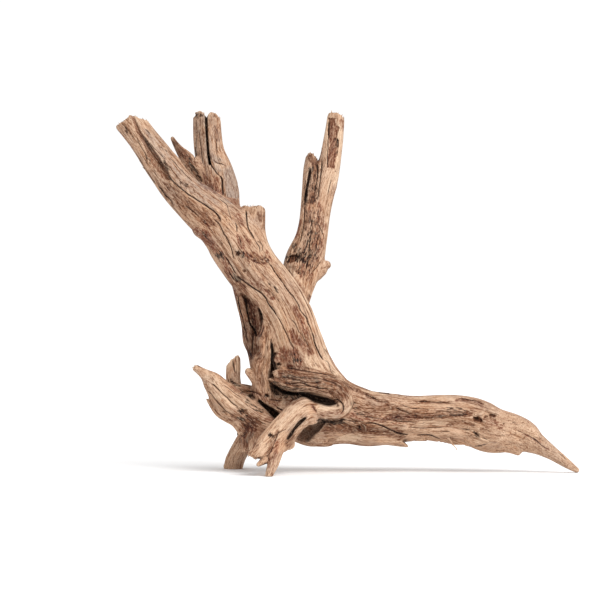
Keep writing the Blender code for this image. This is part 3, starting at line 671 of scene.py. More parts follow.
class Limb:
    """A limb or a hollow: its curve, its sections, its surface and the finish of its ends.

    An end is None where it is rounded, or the profile that it broke along: places across, and how far
    the wood reaches there."""

    count = 0

    def __init__(self, stations, fillet=5.0, flutes=0.7, ridges=0.3, start=None, tip=None, rag=0.7,
                 clefts=1.2, slot=0, square=2.0, least_size=0.0):
        rows, self.step = through_stations(stations, CURVE_SPACING)
        self.number = Limb.count
        Limb.count += 1
        along = unit(np.gradient(rows[:, :3], axis=0))
        across = unit(np.cross(along, (0.0, 1.0, 0.0)))
        depth = unit(np.cross(across, along))
        half = np.maximum(rows[:, 3:5], 0.4)
        self.rows = np.hstack([rows[:, :3], along, across, depth, half]).astype(np.float32)
        self.length = self.step * (len(rows) - 1)
        self.fillet = fillet
        self.flutes = flutes
        self.ridges = ridges
        self.start = start
        self.tip = tip
        self.rag = rag
        self.clefts = clefts
        self.slot = slot
        self.square = square
        self.least_size = least_size
        reach = half.max(axis=1)[:, None] + 2.0
        self.low = (rows[:, :3] - reach).min(axis=0)
        self.high = (rows[:, :3] + reach).max(axis=0)

    def between(self, run):
        place = np.clip(run / self.step, 0, len(self.rows) - 1.001)
        i = place.astype(np.int32)
        t = (place - i).astype(np.float32)[:, None]
        return self.rows[i] * (1 - t) + self.rows[i + 1] * t

    def place(self, points):
        """Each point's nearest place on the curve: run, across, depth, the curve's rows there."""
        centre = self.rows[:, :3]
        far = (centre * centre).sum(axis=1)[None, :] - 2.0 * points @ centre.T
        run = far.argmin(axis=1) * self.step
        for _ in range(3):
            rows = self.between(run)
            rel = points - rows[:, :3]
            past = (rel * rows[:, 3:6]).sum(axis=1)
            run = np.clip(run, 0.0, self.length) + past
        rows = self.between(run)
        rel = points - rows[:, :3]
        u = (rel * rows[:, 6:9]).sum(axis=1)
        v = (rel * rows[:, 9:12]).sum(axis=1)
        return run, u, v, rows

    def cleft_depth(self, run, u, v, size):
        """Drying cracks that wander along the limb, deep in some stretches and closed in others."""
        seed = 5.3 * self.number
        line = np.abs(noise(run / CLEFT_LENGTH + seed, u / CLEFT_GAP, v / CLEFT_GAP + 11))
        open_here = ramp(noise(run / 46 + seed, u / 15 + 7, v / 15), -0.1, 0.5)
        return self.clefts * size * open_here * np.maximum(0.0, 1.0 - line / 0.16)

    def field(self, points):
        """Distance to the limb's skin, negative inside, the clefts' depth and the place on the limb."""
        run, u, v, rows = self.place(points)
        a, b = rows[:, 12], rows[:, 13]
        least = np.minimum(a, b)
        past_tip = run - self.length
        past_start = -run
        e = np.zeros_like(u)
        if self.tip is None:
            e = np.maximum(e, past_tip)
        if self.start is None:
            e = np.maximum(e, past_start)
        k0 = np.sqrt((u / a) ** 2 + (v / b) ** 2 + (e / least) ** 2)
        k1 = np.sqrt((u / a**2) ** 2 + (v / b**2) ** 2 + (e / least**2) ** 2)
        skin = np.where(k1 > 1e-4, k0 * (k0 - 1.0) / np.maximum(k1, 1e-4), -least)
        if self.square > 2.0:
            k = (np.abs(u / a) ** self.square + np.abs(v / b) ** self.square
                 + (e / least) ** self.square) ** (1 / self.square)
            flat = np.sqrt(u * u + v * v + e * e) * (1.0 - 1.0 / np.maximum(k, 0.05))
            skin = np.where(k > 0.4, flat, skin)
        size = np.clip(least / 9.0, self.least_size, 1.0)
        seed = 9.7 * self.number
        skin = skin - self.flutes * size * noise(run / FLUTE_LENGTH + seed, u / FLUTE_WIDTH,
                                                 v / FLUTE_WIDTH)
        skin = skin - self.ridges * size * noise(run / RIDGE_LENGTH + seed, u / RIDGE_WIDTH + 31,
                                                 v / RIDGE_WIDTH)
        cleft = self.cleft_depth(run, u, v, size)
        rough = self.rag * noise(u / FINE_RAG, v / FINE_RAG, 0 * u + self.number + 3.3)
        rough = rough + self.rag * 0.8 * noise(u / WIDE_RAG, v / WIDE_RAG, 0 * u + self.number + 8.3)
        for profile, past in ((self.tip, past_tip), (self.start, past_start)):
            if profile is not None:
                reach = np.interp(u, [p[0] for p in profile], [p[1] for p in profile])
                skin = -join(-skin, reach - past - rough, END_ROUNDING)
        return skin, cleft, run, u, v

    def near(self, points, margin=8.0):
        return np.flatnonzero(((points > self.low - margin) & (points < self.high + margin)).all(axis=1))


def at(limb, points, far=40.0):
    """A limb's field and clefts at all the points, worked out only for those near it."""
    near = limb.near(points)
    value = np.full(len(points), far, np.float32)
    cleft = np.zeros(len(points), np.float32)
    for part in np.array_split(near, max(1, len(near) // 60000)):
        if len(part):
            value[part], cleft[part] = limb.field(points[part])[:2]
    return value, cleft


LIMBS = {
    "stem": Limb(STEM, flutes=1.3, ridges=0.45, clefts=1.3, start=[(-15, -3.5), (-11.5, -1.9), (-6, -2.8),
     (-1, -2.8), (3, -2.2), (6, -5), (8.3, -10.3), (12.4, -14.7), (14, -20)]),
    "stem stub": Limb(STEM_STUB, fillet=5, tip=[(-10, -4), (-7.5, -2.2), (-4, -2), (2, -3), (6, -2.6),
     (10, -1)], slot=1, clefts=0.5),
    "stem nodule": Limb(STEM_NODULE, fillet=5, slot=1),
    "tall limb": Limb(TALL_LIMB, fillet=3, flutes=0.9, slot=1, tip=[(-8, -6), (-4, -2.2), (0, -1.4),
     (4, -1), (6.5, -1.6), (8, -5)]),
    "short limb": Limb(SHORT_LIMB, fillet=2.5, tip=[(-6, -8), (-3, -4), (0, -1), (3, 0), (5, -2)],
     slot=2),
    "knob": Limb(KNOB, fillet=4, slot=0),
    "middle limb": Limb(MIDDLE_LIMB, fillet=4, slot=2, flutes=0.5, clefts=0.6, tip=[(-12, -8), (-9, -3),
     (-5, -2.4), (-2, -4), (0, -6), (2, -3), (5, -1.2), (9, -1.5), (11, -4)]),
    "spur": Limb(SPUR, fillet=4, slot=1, flutes=0.5),
    "rear rib": Limb(REAR_RIB, fillet=4, slot=1),
    "base": Limb(BASE, fillet=6, flutes=1.4, ridges=0.7, slot=2),
    "trunk nub": Limb(TRUNK_NUB, fillet=6, slot=1),
    "root knot": Limb(ROOT_KNOT, fillet=6, slot=1),
    "pillar left": Limb(PILLAR_LEFT, fillet=3, slot=1),
    "pillar right": Limb(PILLAR_RIGHT, fillet=2, slot=2),
    "lump": Limb(LUMP, fillet=2, slot=0),
    "back foot": Limb(BACK_FOOT, fillet=6, flutes=1.2, ridges=0.6, slot=1),
    "left branch": Limb(LEFT_BRANCH, fillet=3, flutes=1.2, ridges=0.5, slot=1, square=2.5, tip=[(-4, -2),
     (0, 0), (3, -0.5)]),
    "bark edge": Limb(BARK_EDGE, fillet=1.5, flutes=2.2, ridges=1.6, least_size=0.8, slot=2, rag=1.0),
    "bark chunk": Limb(BARK_CHUNK, fillet=1.5, flutes=0.5, ridges=0.4, slot=2, rag=0.9, tip=[(-8, 1),
     (0, 1), (8, -3)]),
    "fin": Limb(FIN, fillet=2, slot=2, square=2.6, rag=0.4, tip=[(-6, -3), (-4.5, -1.6), (-2, -1),
     (0, -4), (2, -4.6), (5, -9)]),
    "wavy root": Limb(WAVY_ROOT, fillet=2, ridges=0.5, slot=0),
    "dark ridge": Limb(DARK_RIDGE, fillet=2.5, ridges=1.0, slot=1, rag=1.6, start=[(-8, -1), (-5, 2),
     (-2, -2), (2, 2), (5, -1), (8, -3)], tip=[(-5, -1), (0, 1.5), (5, -1)]),
    "front stub": Limb(FRONT_STUB, fillet=1.5, flutes=0.8, ridges=0.5, slot=0, rag=1.0, square=3.0,
     tip=[(-12, -1), (-8, 0.5), (-5, 0), (-2, -1.5), (1, -4), (4, -8), (8, -12), (12, -14)]),
    "prong middle": Limb(PRONG_MIDDLE, fillet=1.5, slot=2, flutes=0.4),
    "prong right": Limb(PRONG_RIGHT, fillet=2, slot=1, flutes=0.4),
    "tan block": Limb(TAN_BLOCK, fillet=2, slot=1, square=3.0),
    "lath": Limb(LATH, fillet=1, slot=2, flutes=0.3, tip=[(-3, -1), (0, 2), (2, -2)]),
    "flange": Limb(FLANGE, fillet=2, slot=1, rag=1.8, flutes=1.6, ridges=1.4, least_size=0.8, clefts=0,
     tip=[(-4, 0), (-1, 3), (1, -1), (4, 1)]),
    "thread": Limb(THREAD, fillet=1.5, flutes=0, ridges=0, clefts=0, slot=2),
    "under tongue": Limb(UNDER_TONGUE, fillet=2, slot=1, flutes=0.4),
    "under spikes": Limb(UNDER_SPIKES, fillet=2, slot=1, flutes=0.4),
    "under hair": Limb(UNDER_HAIR, fillet=1, slot=0, flutes=0, ridges=0, clefts=0),
    "under strip": Limb(UNDER_STRIP, fillet=2, slot=2, flutes=0.4),
    "root nub": Limb(ROOT_NUB, fillet=3, slot=1, flutes=0.4),
}
FIRST_GROWTH = ["stem", "stem stub", "stem nodule", "tall limb", "short limb", "knob", "middle limb",
                "spur", "rear rib", "base"]
LATER_GROWTH = [name for name in LIMBS if name not in FIRST_GROWTH]


def hollow(stations, shade, rag=0.5):
    """A hollow, and how dark the painted shade on its walls is."""
    made = Limb(stations, flutes=rag * 1.6, ridges=rag, clefts=0, least_size=0.8)
    made.shade = shade
    return made


# Each hollow's second number is the strength of the painted shade on its walls
EARLY_HOLLOWS = [hollow(OPEN_SPLIT, 0.35, 0.2), hollow(ARCH, 0.1, 0.9)]
LATE_HOLLOWS = [hollow(LATH_GAP, 0.5, 0.6), hollow(BACK_HOLLOW, 0.4, 1.0),
                hollow(CURL_HOLLOW, 0.8, 0.4), hollow(CURL_POCKET, 1.0), hollow(UNDER_CURL, 0.7, 0.3),
                hollow(FRONT_CAVITY, 0.75, 1.3), hollow(SIDE_GAP, 0.7, 0.7), hollow(UNDER_RIDGE, 0.7, 0.7)]


class Sheet:
    """A sheet seen from the front, on which marks are drawn in millimetres."""

    def __init__(self):
        self.value = np.zeros(SHEET_CELLS, np.float32)

    def window(self, path, reach):
        """The part of the sheet within reach of a path, and the places of its cells."""
        path = np.array(path, float)[:, :2]
        low = np.clip((path.min(axis=0) - reach - SHEET_LOW) / SHEET_STEP, 0, SHEET_CELLS - 2).astype(int)
        high = np.clip((path.max(axis=0) + reach - SHEET_LOW) / SHEET_STEP, low + 1,
                       SHEET_CELLS).astype(int)
        x = SHEET_LOW[0] + np.arange(low[0], high[0]) * SHEET_STEP
        z = SHEET_LOW[1] + np.arange(low[1], high[1]) * SHEET_STEP
        x, z = np.meshgrid(x, z, indexing="ij")
        return (slice(low[0], high[0]), slice(low[1], high[1])), x, z

    def read(self, x, z):
        """The sheet's value at places between its cells."""
        place = [np.clip((v - low) / SHEET_STEP, 0, cells - 1.001)
                 for v, low, cells in zip((x, z), SHEET_LOW, SHEET_CELLS)]
        i, j = [v.astype(np.int32) for v in place]
        s, t = place[0] - i, place[1] - j
        v = self.value
        return ((v[i, j] * (1 - s) + v[i + 1, j] * s) * (1 - t)
                + (v[i, j + 1] * (1 - s) + v[i + 1, j + 1] * s) * t).astype(np.float32)


def beside(path, x, z, wander):
    """How far each place is from a path, on which side of it, and how far along it, with its length."""
    path = through_stations(path, 1.5)[0] if len(path) > 2 else np.array(path, float)
    dx, dz = wander * noise(x / 5.5, z / 5.5, 0 * x + 3.1), wander * noise(x / 5.5, z / 5.5, 0 * x + 9.4)
    x, z = x + dx, z + dz
    gap = np.full(x.shape, 1e6)
    side = np.ones(x.shape)
    along = np.zeros(x.shape)
    start = 0.0
    for (x0, z0), (x1, z1) in zip(path[:-1], path[1:]):
        leg = max(math.hypot(x1 - x0, z1 - z0), 1e-6)
        ux, uz = (x1 - x0) / leg, (z1 - z0) / leg
        t = np.clip((x - x0) * ux + (z - z0) * uz, 0, leg)
        rx, rz = x - x0 - ux * t, z - z0 - uz * t
        far = np.hypot(rx, rz)
        closer = far < gap
        gap = np.where(closer, far, gap)
        side = np.where(closer, np.sign(ux * rz - uz * rx), side)
        along = np.where(closer, start + t, along)
        start += leg
    return gap, side, along, start


def inside(outline, x, z):
    """Which places lie inside an outline."""
    hits = np.zeros(x.shape, bool)
    for (x0, z0), (x1, z1) in zip(outline, outline[1:] + outline[:1]):
        spans = (z0 > z) != (z1 > z)
        hits ^= spans & (x < (x1 - x0) * (z - z0) / (z1 - z0 + 1e-9) + x0)
    return hits


def within(outline, x, z, edge):
    """1 inside an outline and 0 outside it, with a frayed edge of some width."""
    bent = x + 0.5 * noise(x / 2.2, z / 2.2, 0 * x + 6)
    gap = np.full(x.shape, 1e6)
    for (x0, z0), (x1, z1) in zip(outline, outline[1:] + outline[:1]):
        leg = max(math.hypot(x1 - x0, z1 - z0), 1e-6)
        ux, uz = (x1 - x0) / leg, (z1 - z0) / leg
        t = np.clip((bent - x0) * ux + (z - z0) * uz, 0, leg)
        gap = np.minimum(gap, np.hypot(bent - x0 - ux * t, z - z0 - uz * t))
    return ramp(np.where(inside(outline, bent, z), gap, -gap), -edge, edge)


def draw_depths():
    """The depth that the marks cut into the front, in millimetres."""
    sheet = Sheet()
    for width, depth, path in CRACKS:
        where, x, z = sheet.window(path, width + 2)
        gap, _, along, length = beside(path, x, z, 0.5)
        end = ramp(along, 0, 5) * ramp(length - along, 0, 5)
        open_here = 0.75 + 0.35 * noise(along / 6, 0 * x + width * 7, 0 * x + depth)
        wide = np.maximum(0.7, 0.7 * width * (0.5 + 0.5 * end) * open_here + 0.1)
        cut = np.minimum(depth * end * open_here, 2.4 * wide) * np.maximum(0, 1 - gap / wide) ** 0.8
        sheet.value[where] = np.maximum(sheet.value[where], cut)
    heights = np.array([row[0] for row in OPENED_GROOVE])[::-1]
    edges = np.array([row[1:] for row in OPENED_GROOVE])[::-1]
    where, x, z = sheet.window([(edges[:, 0].min(), heights.min()), (edges[:, 1].max(), heights.max())], 3)
    z_bent = z + 0.8 * noise(x / 4, z / 9, 0 * x)
    left, right, depth = [np.interp(z_bent, heights, column) for column in edges.T]
    share = (x - left) / (right - left)
    floor = ramp(share, -0.1, 0.3) * (0.45 + 0.55 * ramp(share, 0.2, 0.95)) * ramp(x - right, 0.9, -0.4)
    floor = floor * ramp(z, heights[0] - 1, heights[0] + 3)
    strands = 1 + 0.12 * noise((x - left) / 1.6, z / 14, 0 * x + 4)
    sheet.value[where] = np.maximum(sheet.value[where], depth * floor * strands)
    opened = Sheet()
    above_foot = ramp(z, heights[0] - 1, heights[0] + 3)
    opened.value[where] = ramp(share, -0.15, 0.05) * ramp(x - right, 0.7, -0.3) * above_foot
    for high, fade, path in LAYERS:
        where, x, z = sheet.window(path, fade + 2)
        gap, side, along, length = beside(path, x, z, 0.6)
        end = ramp(along, 0, 6) * ramp(length - along, 0, 6)
        sheet.value[where] -= high * end * ramp(gap, fade, 0.2 * fade) * ramp(side * gap, -0.35, 0.35)
    for _, _, depth, outline in PANELS:
        where, x, z = sheet.window(outline, 3)
        sheet.value[where] += depth * within(outline, x, z, 0.5)
    for x0, z0, wide, high, turn, depth in PITS:
        where, x, z = sheet.window([(x0, z0)], max(wide, high) + 2)
        c, s = math.cos(math.radians(turn)), math.sin(math.radians(turn))
        bent_x = x - x0 + 0.7 * noise(x / 2.5, z / 2.5, 0 * x)
        bent_z = z - z0 + 0.7 * noise(x / 2.5, z / 2.5, 0 * x + 5)
        r = np.hypot((bent_x * c + bent_z * s) / wide, (bent_z * c - bent_x * s) / high)
        r = r * (1 + 0.35 * noise(bent_x / 1.7, bent_z / 1.7, 0 * bent_x + x0))
        cut = ramp(r, 1.15, 0.45)
        if depth > 0:
            sheet.value[where] = np.maximum(sheet.value[where], depth * cut)
        else:
            sheet.value[where] += depth * cut
    return sheet, opened


def draw_stains_and_shadows():
    """One sheet of strength for each colour of stain; the dark sheet also holds painted shadows."""
    sheets = {tint: Sheet() for tint in TINTS}
    for tint, strength, width, path in STAINS_AND_SHADOWS:
        reach = width * 1.5 + 1
        where, x, z = sheets[tint].window(path, reach)
        gap = beside(path, x, z, 0.25 * width)[0]
        held = sheets[tint].value[where]
        sheets[tint].value[where] = 1 - (1 - held) * (1 - strength * ramp(gap, width * 1.4, width * 0.4))
    for tint, strength, _, outline in PANELS:
        where, x, z = sheets[tint].window(outline, 3)
        held = sheets[tint].value[where]
        sheets[tint].value[where] = np.maximum(held, strength * within(outline, x, z, 0.6))
    return sheets


def crack_layers():
    """Cracks sorted so that no two in a layer come close, since each layer keeps only the nearest."""
    layers = [[] for _ in range(CRACK_LAYERS)]
    for crack in CRACKS:
        path = through_stations(crack[2], 2.0)[0]
        room = []
        for layer in layers:
            gaps = [np.linalg.norm(path[:, None] - other[None], axis=-1).min() for _, other in layer]
            room.append(min(gaps, default=99.0))
        choice = next((i for i, gap in enumerate(room) if gap > 8.0), int(np.argmax(room)))
        layers[choice].append((crack, path))
    return [[crack for crack, _ in layer] for layer in layers]


def draw_cracks(layer):
    """For one layer of cracks: the distance to the nearest, in its own half widths, and how near it is."""
    across, near = Sheet(), Sheet()
    least = np.full(SHEET_CELLS, 1e6)
    across.value[:] = 6.0
    for width, _, path in layer:
        where, x, z = across.window(path, 7)
        gap, side, along, length = beside(path, x, z, 0.5)
        end = ramp(along, 0, 4) * ramp(length - along, 0, 4)
        wide = 0.6 * width * (0.35 + 0.65 * end)
        closer = gap < least[where]
        least[where] = np.where(closer, gap, least[where])
        across.value[where] = np.where(closer, np.clip(side * gap / wide, -6, 6), across.value[where])
        near.value[where] = np.where(closer, ramp(gap, 5.5, 3.5) * ramp(end, 0.02, 0.4), near.value[where])
    return across, near


# Where the skin that faces the front ends: the middle of whatever limb shows there
MIDDLE_LIMB_EDGE = [(-165, 300), (-150, 274), (-135, 258), (-126, 250), (-115, 241), (-104, 235),
                    (-88, 231)]
RIGHT_LIMBS_EDGE = [(-60, 180), (-50, 172.5), (-36, 157), (-28, 147), (5, 147)]
REAR_OUTLINE = [(-104, 172), (-97, 166), (-90, 151.5), (-85, 149), (-80, 146), (-76, 142), (-72, 136.5),
                (-70, 127),
                (-72, 119), (-75, 114), (-75.5, 111), (-74, 107), (-75, 102), (-79, 96), (-88, 94),
                (-104, 120)]
FIN_OUTLINE = [(-106, 102), (-86, 102), (-89, 74), (-94, 73.5), (-100, 78), (-106, 82)]
FOOT_OUTLINE = [(-118, -3), (-118, 30), (-104, 42), (-92, 37), (-88, 22), (-80, 19), (-74, -3)]
BEHIND_OUTLINE = [(-98, 76), (-84, 71), (-80, 100), (-64, 130), (-60, 72), (-45, 68), (-52, 58), (-66, 62)]
STUB_OUTLINE = [(-82, 24), (-74, 40), (-50, 64), (-36, 67), (-26, 60), (-30, 48), (-54, 24), (-62, -3),
                (-82, -3)]


BEHIND_DEPTH = 4.0
FIN_DEPTH = 9.0


def draw_middles():
    """How far back the middle of the limb lies that shows at each place."""
    sheet = Sheet()
    _, x, z = sheet.window([SHEET_LOW, SHEET_LOW + SHEET_CELLS * SHEET_STEP], 0)
    stem = np.array(STEM)

    def by_height(stations):
        rows = np.array(stations)[np.argsort([row[2] for row in stations])]
        return np.interp(z, rows[:, 2], rows[:, 1])

    value = np.interp(x, stem[:, 0], stem[:, 1]) - 1.0
    value = np.where(z < 125, np.minimum(value, -3.0), value)
    in_middle = (x < -88) & (z > np.interp(x, *zip(*MIDDLE_LIMB_EDGE))) & (x > -160)
    value = np.where(in_middle, by_height(MIDDLE_LIMB), value)
    in_right = (x > -58) & (z > np.interp(x, *zip(*RIGHT_LIMBS_EDGE)))
    value = np.where(in_right, by_height(TALL_LIMB), value)
    value = np.where(inside(BEHIND_OUTLINE, x, z), BEHIND_DEPTH, value)
    value = np.where(inside(REAR_OUTLINE, x, z), by_height(REAR_RIB), value)
    value = np.where(inside(FIN_OUTLINE, x, z), FIN_DEPTH, value)
    value = np.where(inside(FOOT_OUTLINE, x, z), by_height(BACK_FOOT), value)
    value = np.where(inside(STUB_OUTLINE, x, z), by_height(FRONT_STUB), value)
    sheet.value[:] = value
    return sheet


DEPTHS, OPENED = draw_depths()
MIDDLES = draw_middles()


def from_front(points):
    """Where each point shows when it is seen from the front, and how much of it belongs to the front skin."""
    shrink = VIEW_DISTANCE / (VIEW_DISTANCE + points[:, 1])
    x = VIEW_X + (points[:, 0] - VIEW_X) * shrink
    z = VIEW_Z + (points[:, 2] - VIEW_Z) * shrink
    return x, z, ramp(points[:, 1] - MIDDLES.read(x, z), 1.5, -1.5)


# How round the rims of the hollows are, and how near the skin a point must be to take a mark
EARLY_ROUNDING = 1.5
LATE_ROUNDING = 1.2
MARK_REACH = 9.0


def grown_wood(points, with_marks=True):
    """The whole wood as one field in millimetres, negative inside, and the depth cut into it."""
    points = points.astype(np.float32)
    if len(points) > MOST_AT_ONCE:
        parts = np.array_split(points, len(points) // MOST_AT_ONCE + 1)
        with ThreadPoolExecutor(4) as workers:
            done = list(workers.map(lambda part: grown_wood(part, with_marks), parts))
        return tuple(np.concatenate(values) for values in zip(*done))
    value = np.full(len(points), 40.0, np.float32)
    cut = np.zeros(len(points), np.float32)

    def grow(names):
        nonlocal value, cut
        for name in names:
            skin, cleft = at(LIMBS[name], points)
            cut = np.where(skin < value, cleft, cut)
            value = join(value, skin, LIMBS[name].fillet)

    grow(FIRST_GROWTH)
    for hole in EARLY_HOLLOWS:
        value = carve(value, at(hole, points)[0], EARLY_ROUNDING)
    grow(LATER_GROWTH)
    for hole in LATE_HOLLOWS:
        value = carve(value, at(hole, points)[0], LATE_ROUNDING)
    if with_marks:
        close = np.flatnonzero(np.abs(value) < MARK_REACH)
        x, z, front = from_front(points[close])
        marked = DEPTHS.read(x, z) * front
        cut[close] = np.maximum(cut[close] * (1.8 - 1.4 * front), 0) + marked
        value = value + cut
    return np.maximum(value, -points[:, 2]), cut


def spread(values, cells):
    """The greatest value within so many cells each way."""
    for axis in (0, 1):
        done = 0
        while done < cells:
            shift = min(max(1, done), cells - done)
            values = np.maximum(values, np.maximum(np.roll(values, shift, axis),
                                                   np.roll(values, -shift, axis)))
            done += shift
    return values


def cells_near_skin():
    """Cells of the finest grid that the skin may pass through, found by halving coarse cells."""
    step = CARVING_STEP * COARSE_STEPS
    low = np.min([limb.low for limb in LIMBS.values()], axis=0) - step
    high = np.max([limb.high for limb in LIMBS.values()], axis=0) + step
    low[2] = -1.5 * step
    count = np.ceil((high - low) / step).astype(int)
    cells = np.stack(np.meshgrid(*[np.arange(n) for n in count], indexing="ij"), axis=-1).reshape(-1, 3)
    corners = np.array([(i, j, k) for i in (0, 1) for j in (0, 1) for k in (0, 1)])
    sunk, raised = Sheet(), Sheet()
    sunk.value = spread(DEPTHS.value, 12)
    raised.value = spread(-DEPTHS.value, 12)
    while True:
        middle = low + (cells + 0.5) * step
        value = grown_wood(middle, with_marks=False)[0]
        x, z, _ = from_front(middle)
        front = middle[:, 1] < MIDDLES.read(x, z) + 1.5 + step
        band = 1.1 * step + 0.4
        inward = band + MOST_CLEFT + np.where(front, sunk.read(x, z), 0)
        outward = band + np.where(front, np.maximum(raised.read(x, z), 0), 0)
        cells = cells[(value < outward) & (value > -inward)]
        if step < CARVING_STEP * 1.01:
            return low, cells, corners
        cells = (cells[:, None, :] * 2 + corners[None]).reshape(-1, 3)
        step /= 2


def joined_corners(case):
    """Whether a cell's inside corners hang together, and its outside corners too, along the cell's edges."""
    for wanted in (0, 1):
        group = [i for i in range(8) if case >> i & 1 == wanted]
        reached = group[:1]
        for i in reached:
            reached += [j for j in group if j not in reached and bin(i ^ j).count("1") == 1]
        if len(reached) < len(group):
            return False
    return True


def skin_of_wood():
    """Vertices and four-sided faces of the field's surface, one vertex to each cell it passes through."""
    low, cells, corners = cells_near_skin()
    span = cells.max(axis=0) + 8
    cells = cells + 2
    low = low - 2 * CARVING_STEP
    whole = np.array([joined_corners(case) for case in range(256)])

    def key(places):
        return (places[..., 0].astype(np.int64) * span[1] + places[..., 1]) * span[2] + places[..., 2]

    def places_of(keys):
        return np.stack([keys // (span[1] * span[2]), keys // span[2] % span[1], keys % span[2]], axis=-1)

    def heights(keys):
        value = grown_wood(low + places_of(keys) * CARVING_STEP)[0]
        return np.where(np.abs(value) < 1e-4, 1e-4, value)

    cell_keys = np.unique(key(cells))
    spots = np.unique(key(cells[:, None, :] + corners[None]))
    value = heights(spots)
    while True:
        cells = places_of(cell_keys)
        where = np.searchsorted(spots, key(cells[:, None, :] + corners[None]))
        held = value[where]
        case = ((held < 0) << np.arange(8)).sum(axis=1)
        torn = np.flatnonzero(~whole[case])
        if len(torn):
            outside = np.where(held[torn] < 0, 99.0, held[torn])
            value[where[torn, outside.argmin(axis=1)]] = -1e-3
            continue
        keep = (case > 0) & (case < 255)
        cell_keys, cells, where, held = cell_keys[keep], cells[keep], where[keep], held[keep]
        wanted = [cell_keys]
        for axis in range(3):
            for side in (0, 1):
                face = held[:, corners[:, axis] == side] < 0
                mixed = face.any(axis=1) & ~face.all(axis=1)
                step = np.zeros(3, int)
                step[axis] = 2 * side - 1
                wanted.append(key(cells[mixed] + step))
        all_keys = np.unique(np.concatenate(wanted))
        if len(all_keys) == len(cell_keys):
            break
        cell_keys = all_keys
        new_spots = np.setdiff1d(key(places_of(cell_keys)[:, None, :] + corners[None]), spots)
        joined = np.concatenate([spots, new_spots])
        order = np.argsort(joined)
        spots, value = joined[order], np.concatenate([value, heights(new_spots)])[order]
    total, hits = np.zeros((len(cells), 3)), np.zeros(len(cells))
    for a in range(8):
        for b in range(a + 1, 8):
            if np.abs(corners[a] - corners[b]).sum() != 1:
                continue
            cut = held[:, a] * held[:, b] < 0
            t = held[cut, a] / (held[cut, a] - held[cut, b])
            total[cut] += corners[a] + (corners[b] - corners[a]) * t[:, None]
            hits[cut] += 1
    vertices = low + (cells + total / hits[:, None]) * CARVING_STEP
    faces = []
    for axis in range(3):
        one, two, end = np.roll((0, 1, 0), axis), np.roll((0, 0, 1), axis), np.roll((1, 0, 0), axis)
        first = corners.tolist().index([0, 0, 0])
        last = corners.tolist().index(end.tolist())
        cut = held[:, first] * held[:, last] < 0
        ring = [np.searchsorted(cell_keys, key(cells[cut] - shift))
                for shift in (0 * one, one, one + two, two)]
        ring = np.stack(ring, axis=-1)
        faces.append(np.where((held[cut, first] < 0)[:, None], ring, ring[:, ::-1]))
    return vertices, np.concatenate(faces)


def largest_piece(vertices, faces):
    """Drop the crumbs that the carving leaves loose."""
    sides = np.concatenate([faces[:, [side, (side + 1) % 4]] for side in range(4)])
    edges = np.unique(np.sort(sides, axis=1), axis=0)
    label = np.arange(len(vertices))
    while True:
        low = np.minimum(label[edges[:, 0]], label[edges[:, 1]])
        new = label.copy()
        np.minimum.at(new, edges[:, 0], low)
        np.minimum.at(new, edges[:, 1], low)
        new = new[new]
        if (new == label).all():
            break
        label = new
    kept = label == np.bincount(label).argmax()
    number = np.cumsum(kept) - 1
    return vertices[kept], number[faces[kept[faces[:, 0]]]]


def placed(name, data):
    """A new object in the scene."""
    thing = bpy.data.objects.new(name, data)
    bpy.context.scene.collection.objects.link(thing)
    return thing


def mesh_from(name, vertices, faces):
    data = bpy.data.meshes.new(name)
    data.vertices.add(len(vertices))
    data.vertices.foreach_set("co", (vertices * MM).astype(np.float32).ravel())
    data.loops.add(faces.size)
    data.loops.foreach_set("vertex_index", faces.astype(np.int32).ravel())
    data.polygons.add(len(faces))
    data.polygons.foreach_set("loop_start", (np.arange(len(faces)) * faces.shape[1]).astype(np.int32))
    data.update(calc_edges=True)
    data.validate()
    return placed(name, data)


def settle(thing):
    """Turn an object's modifiers into its mesh."""
    view = bpy.context.evaluated_depsgraph_get()
    finished = bpy.data.meshes.new_from_object(thing.evaluated_get(view), depsgraph=view)
    thing.modifiers.clear()
    thing.data = finished


def fewer_faces(thing, most):
    triangles = sum(len(face.vertices) - 2 for face in thing.data.polygons)
    thin = thing.modifiers.new("Fewer faces", "DECIMATE")
    thin.ratio = min(1.0, most / triangles)
    thin.use_collapse_triangulate = True
    settle(thing)


def read_vectors(data, what, count):
    values = np.empty(count * 3, np.float32)
    data.foreach_get(what, values)
    return values.reshape(-1, 3)


def even_out(values, edges, weight, rounds):
    """Values on the mesh's vertices, averaged with their neighbours."""
    for _ in range(rounds):
        total = np.zeros_like(values)
        np.add.at(total, edges[:, 0], values[edges[:, 1]])
        np.add.at(total, edges[:, 1], values[edges[:, 0]])
        around = total / weight.reshape((-1,) + (1,) * (values.ndim - 1))
        values = values * 0.5 + around * 0.5
    return values


# A distance from the wood that is past every limb, and the distance over which two grains blend
FAR_OFF = 60.0
GRAIN_BLEND = 2.5


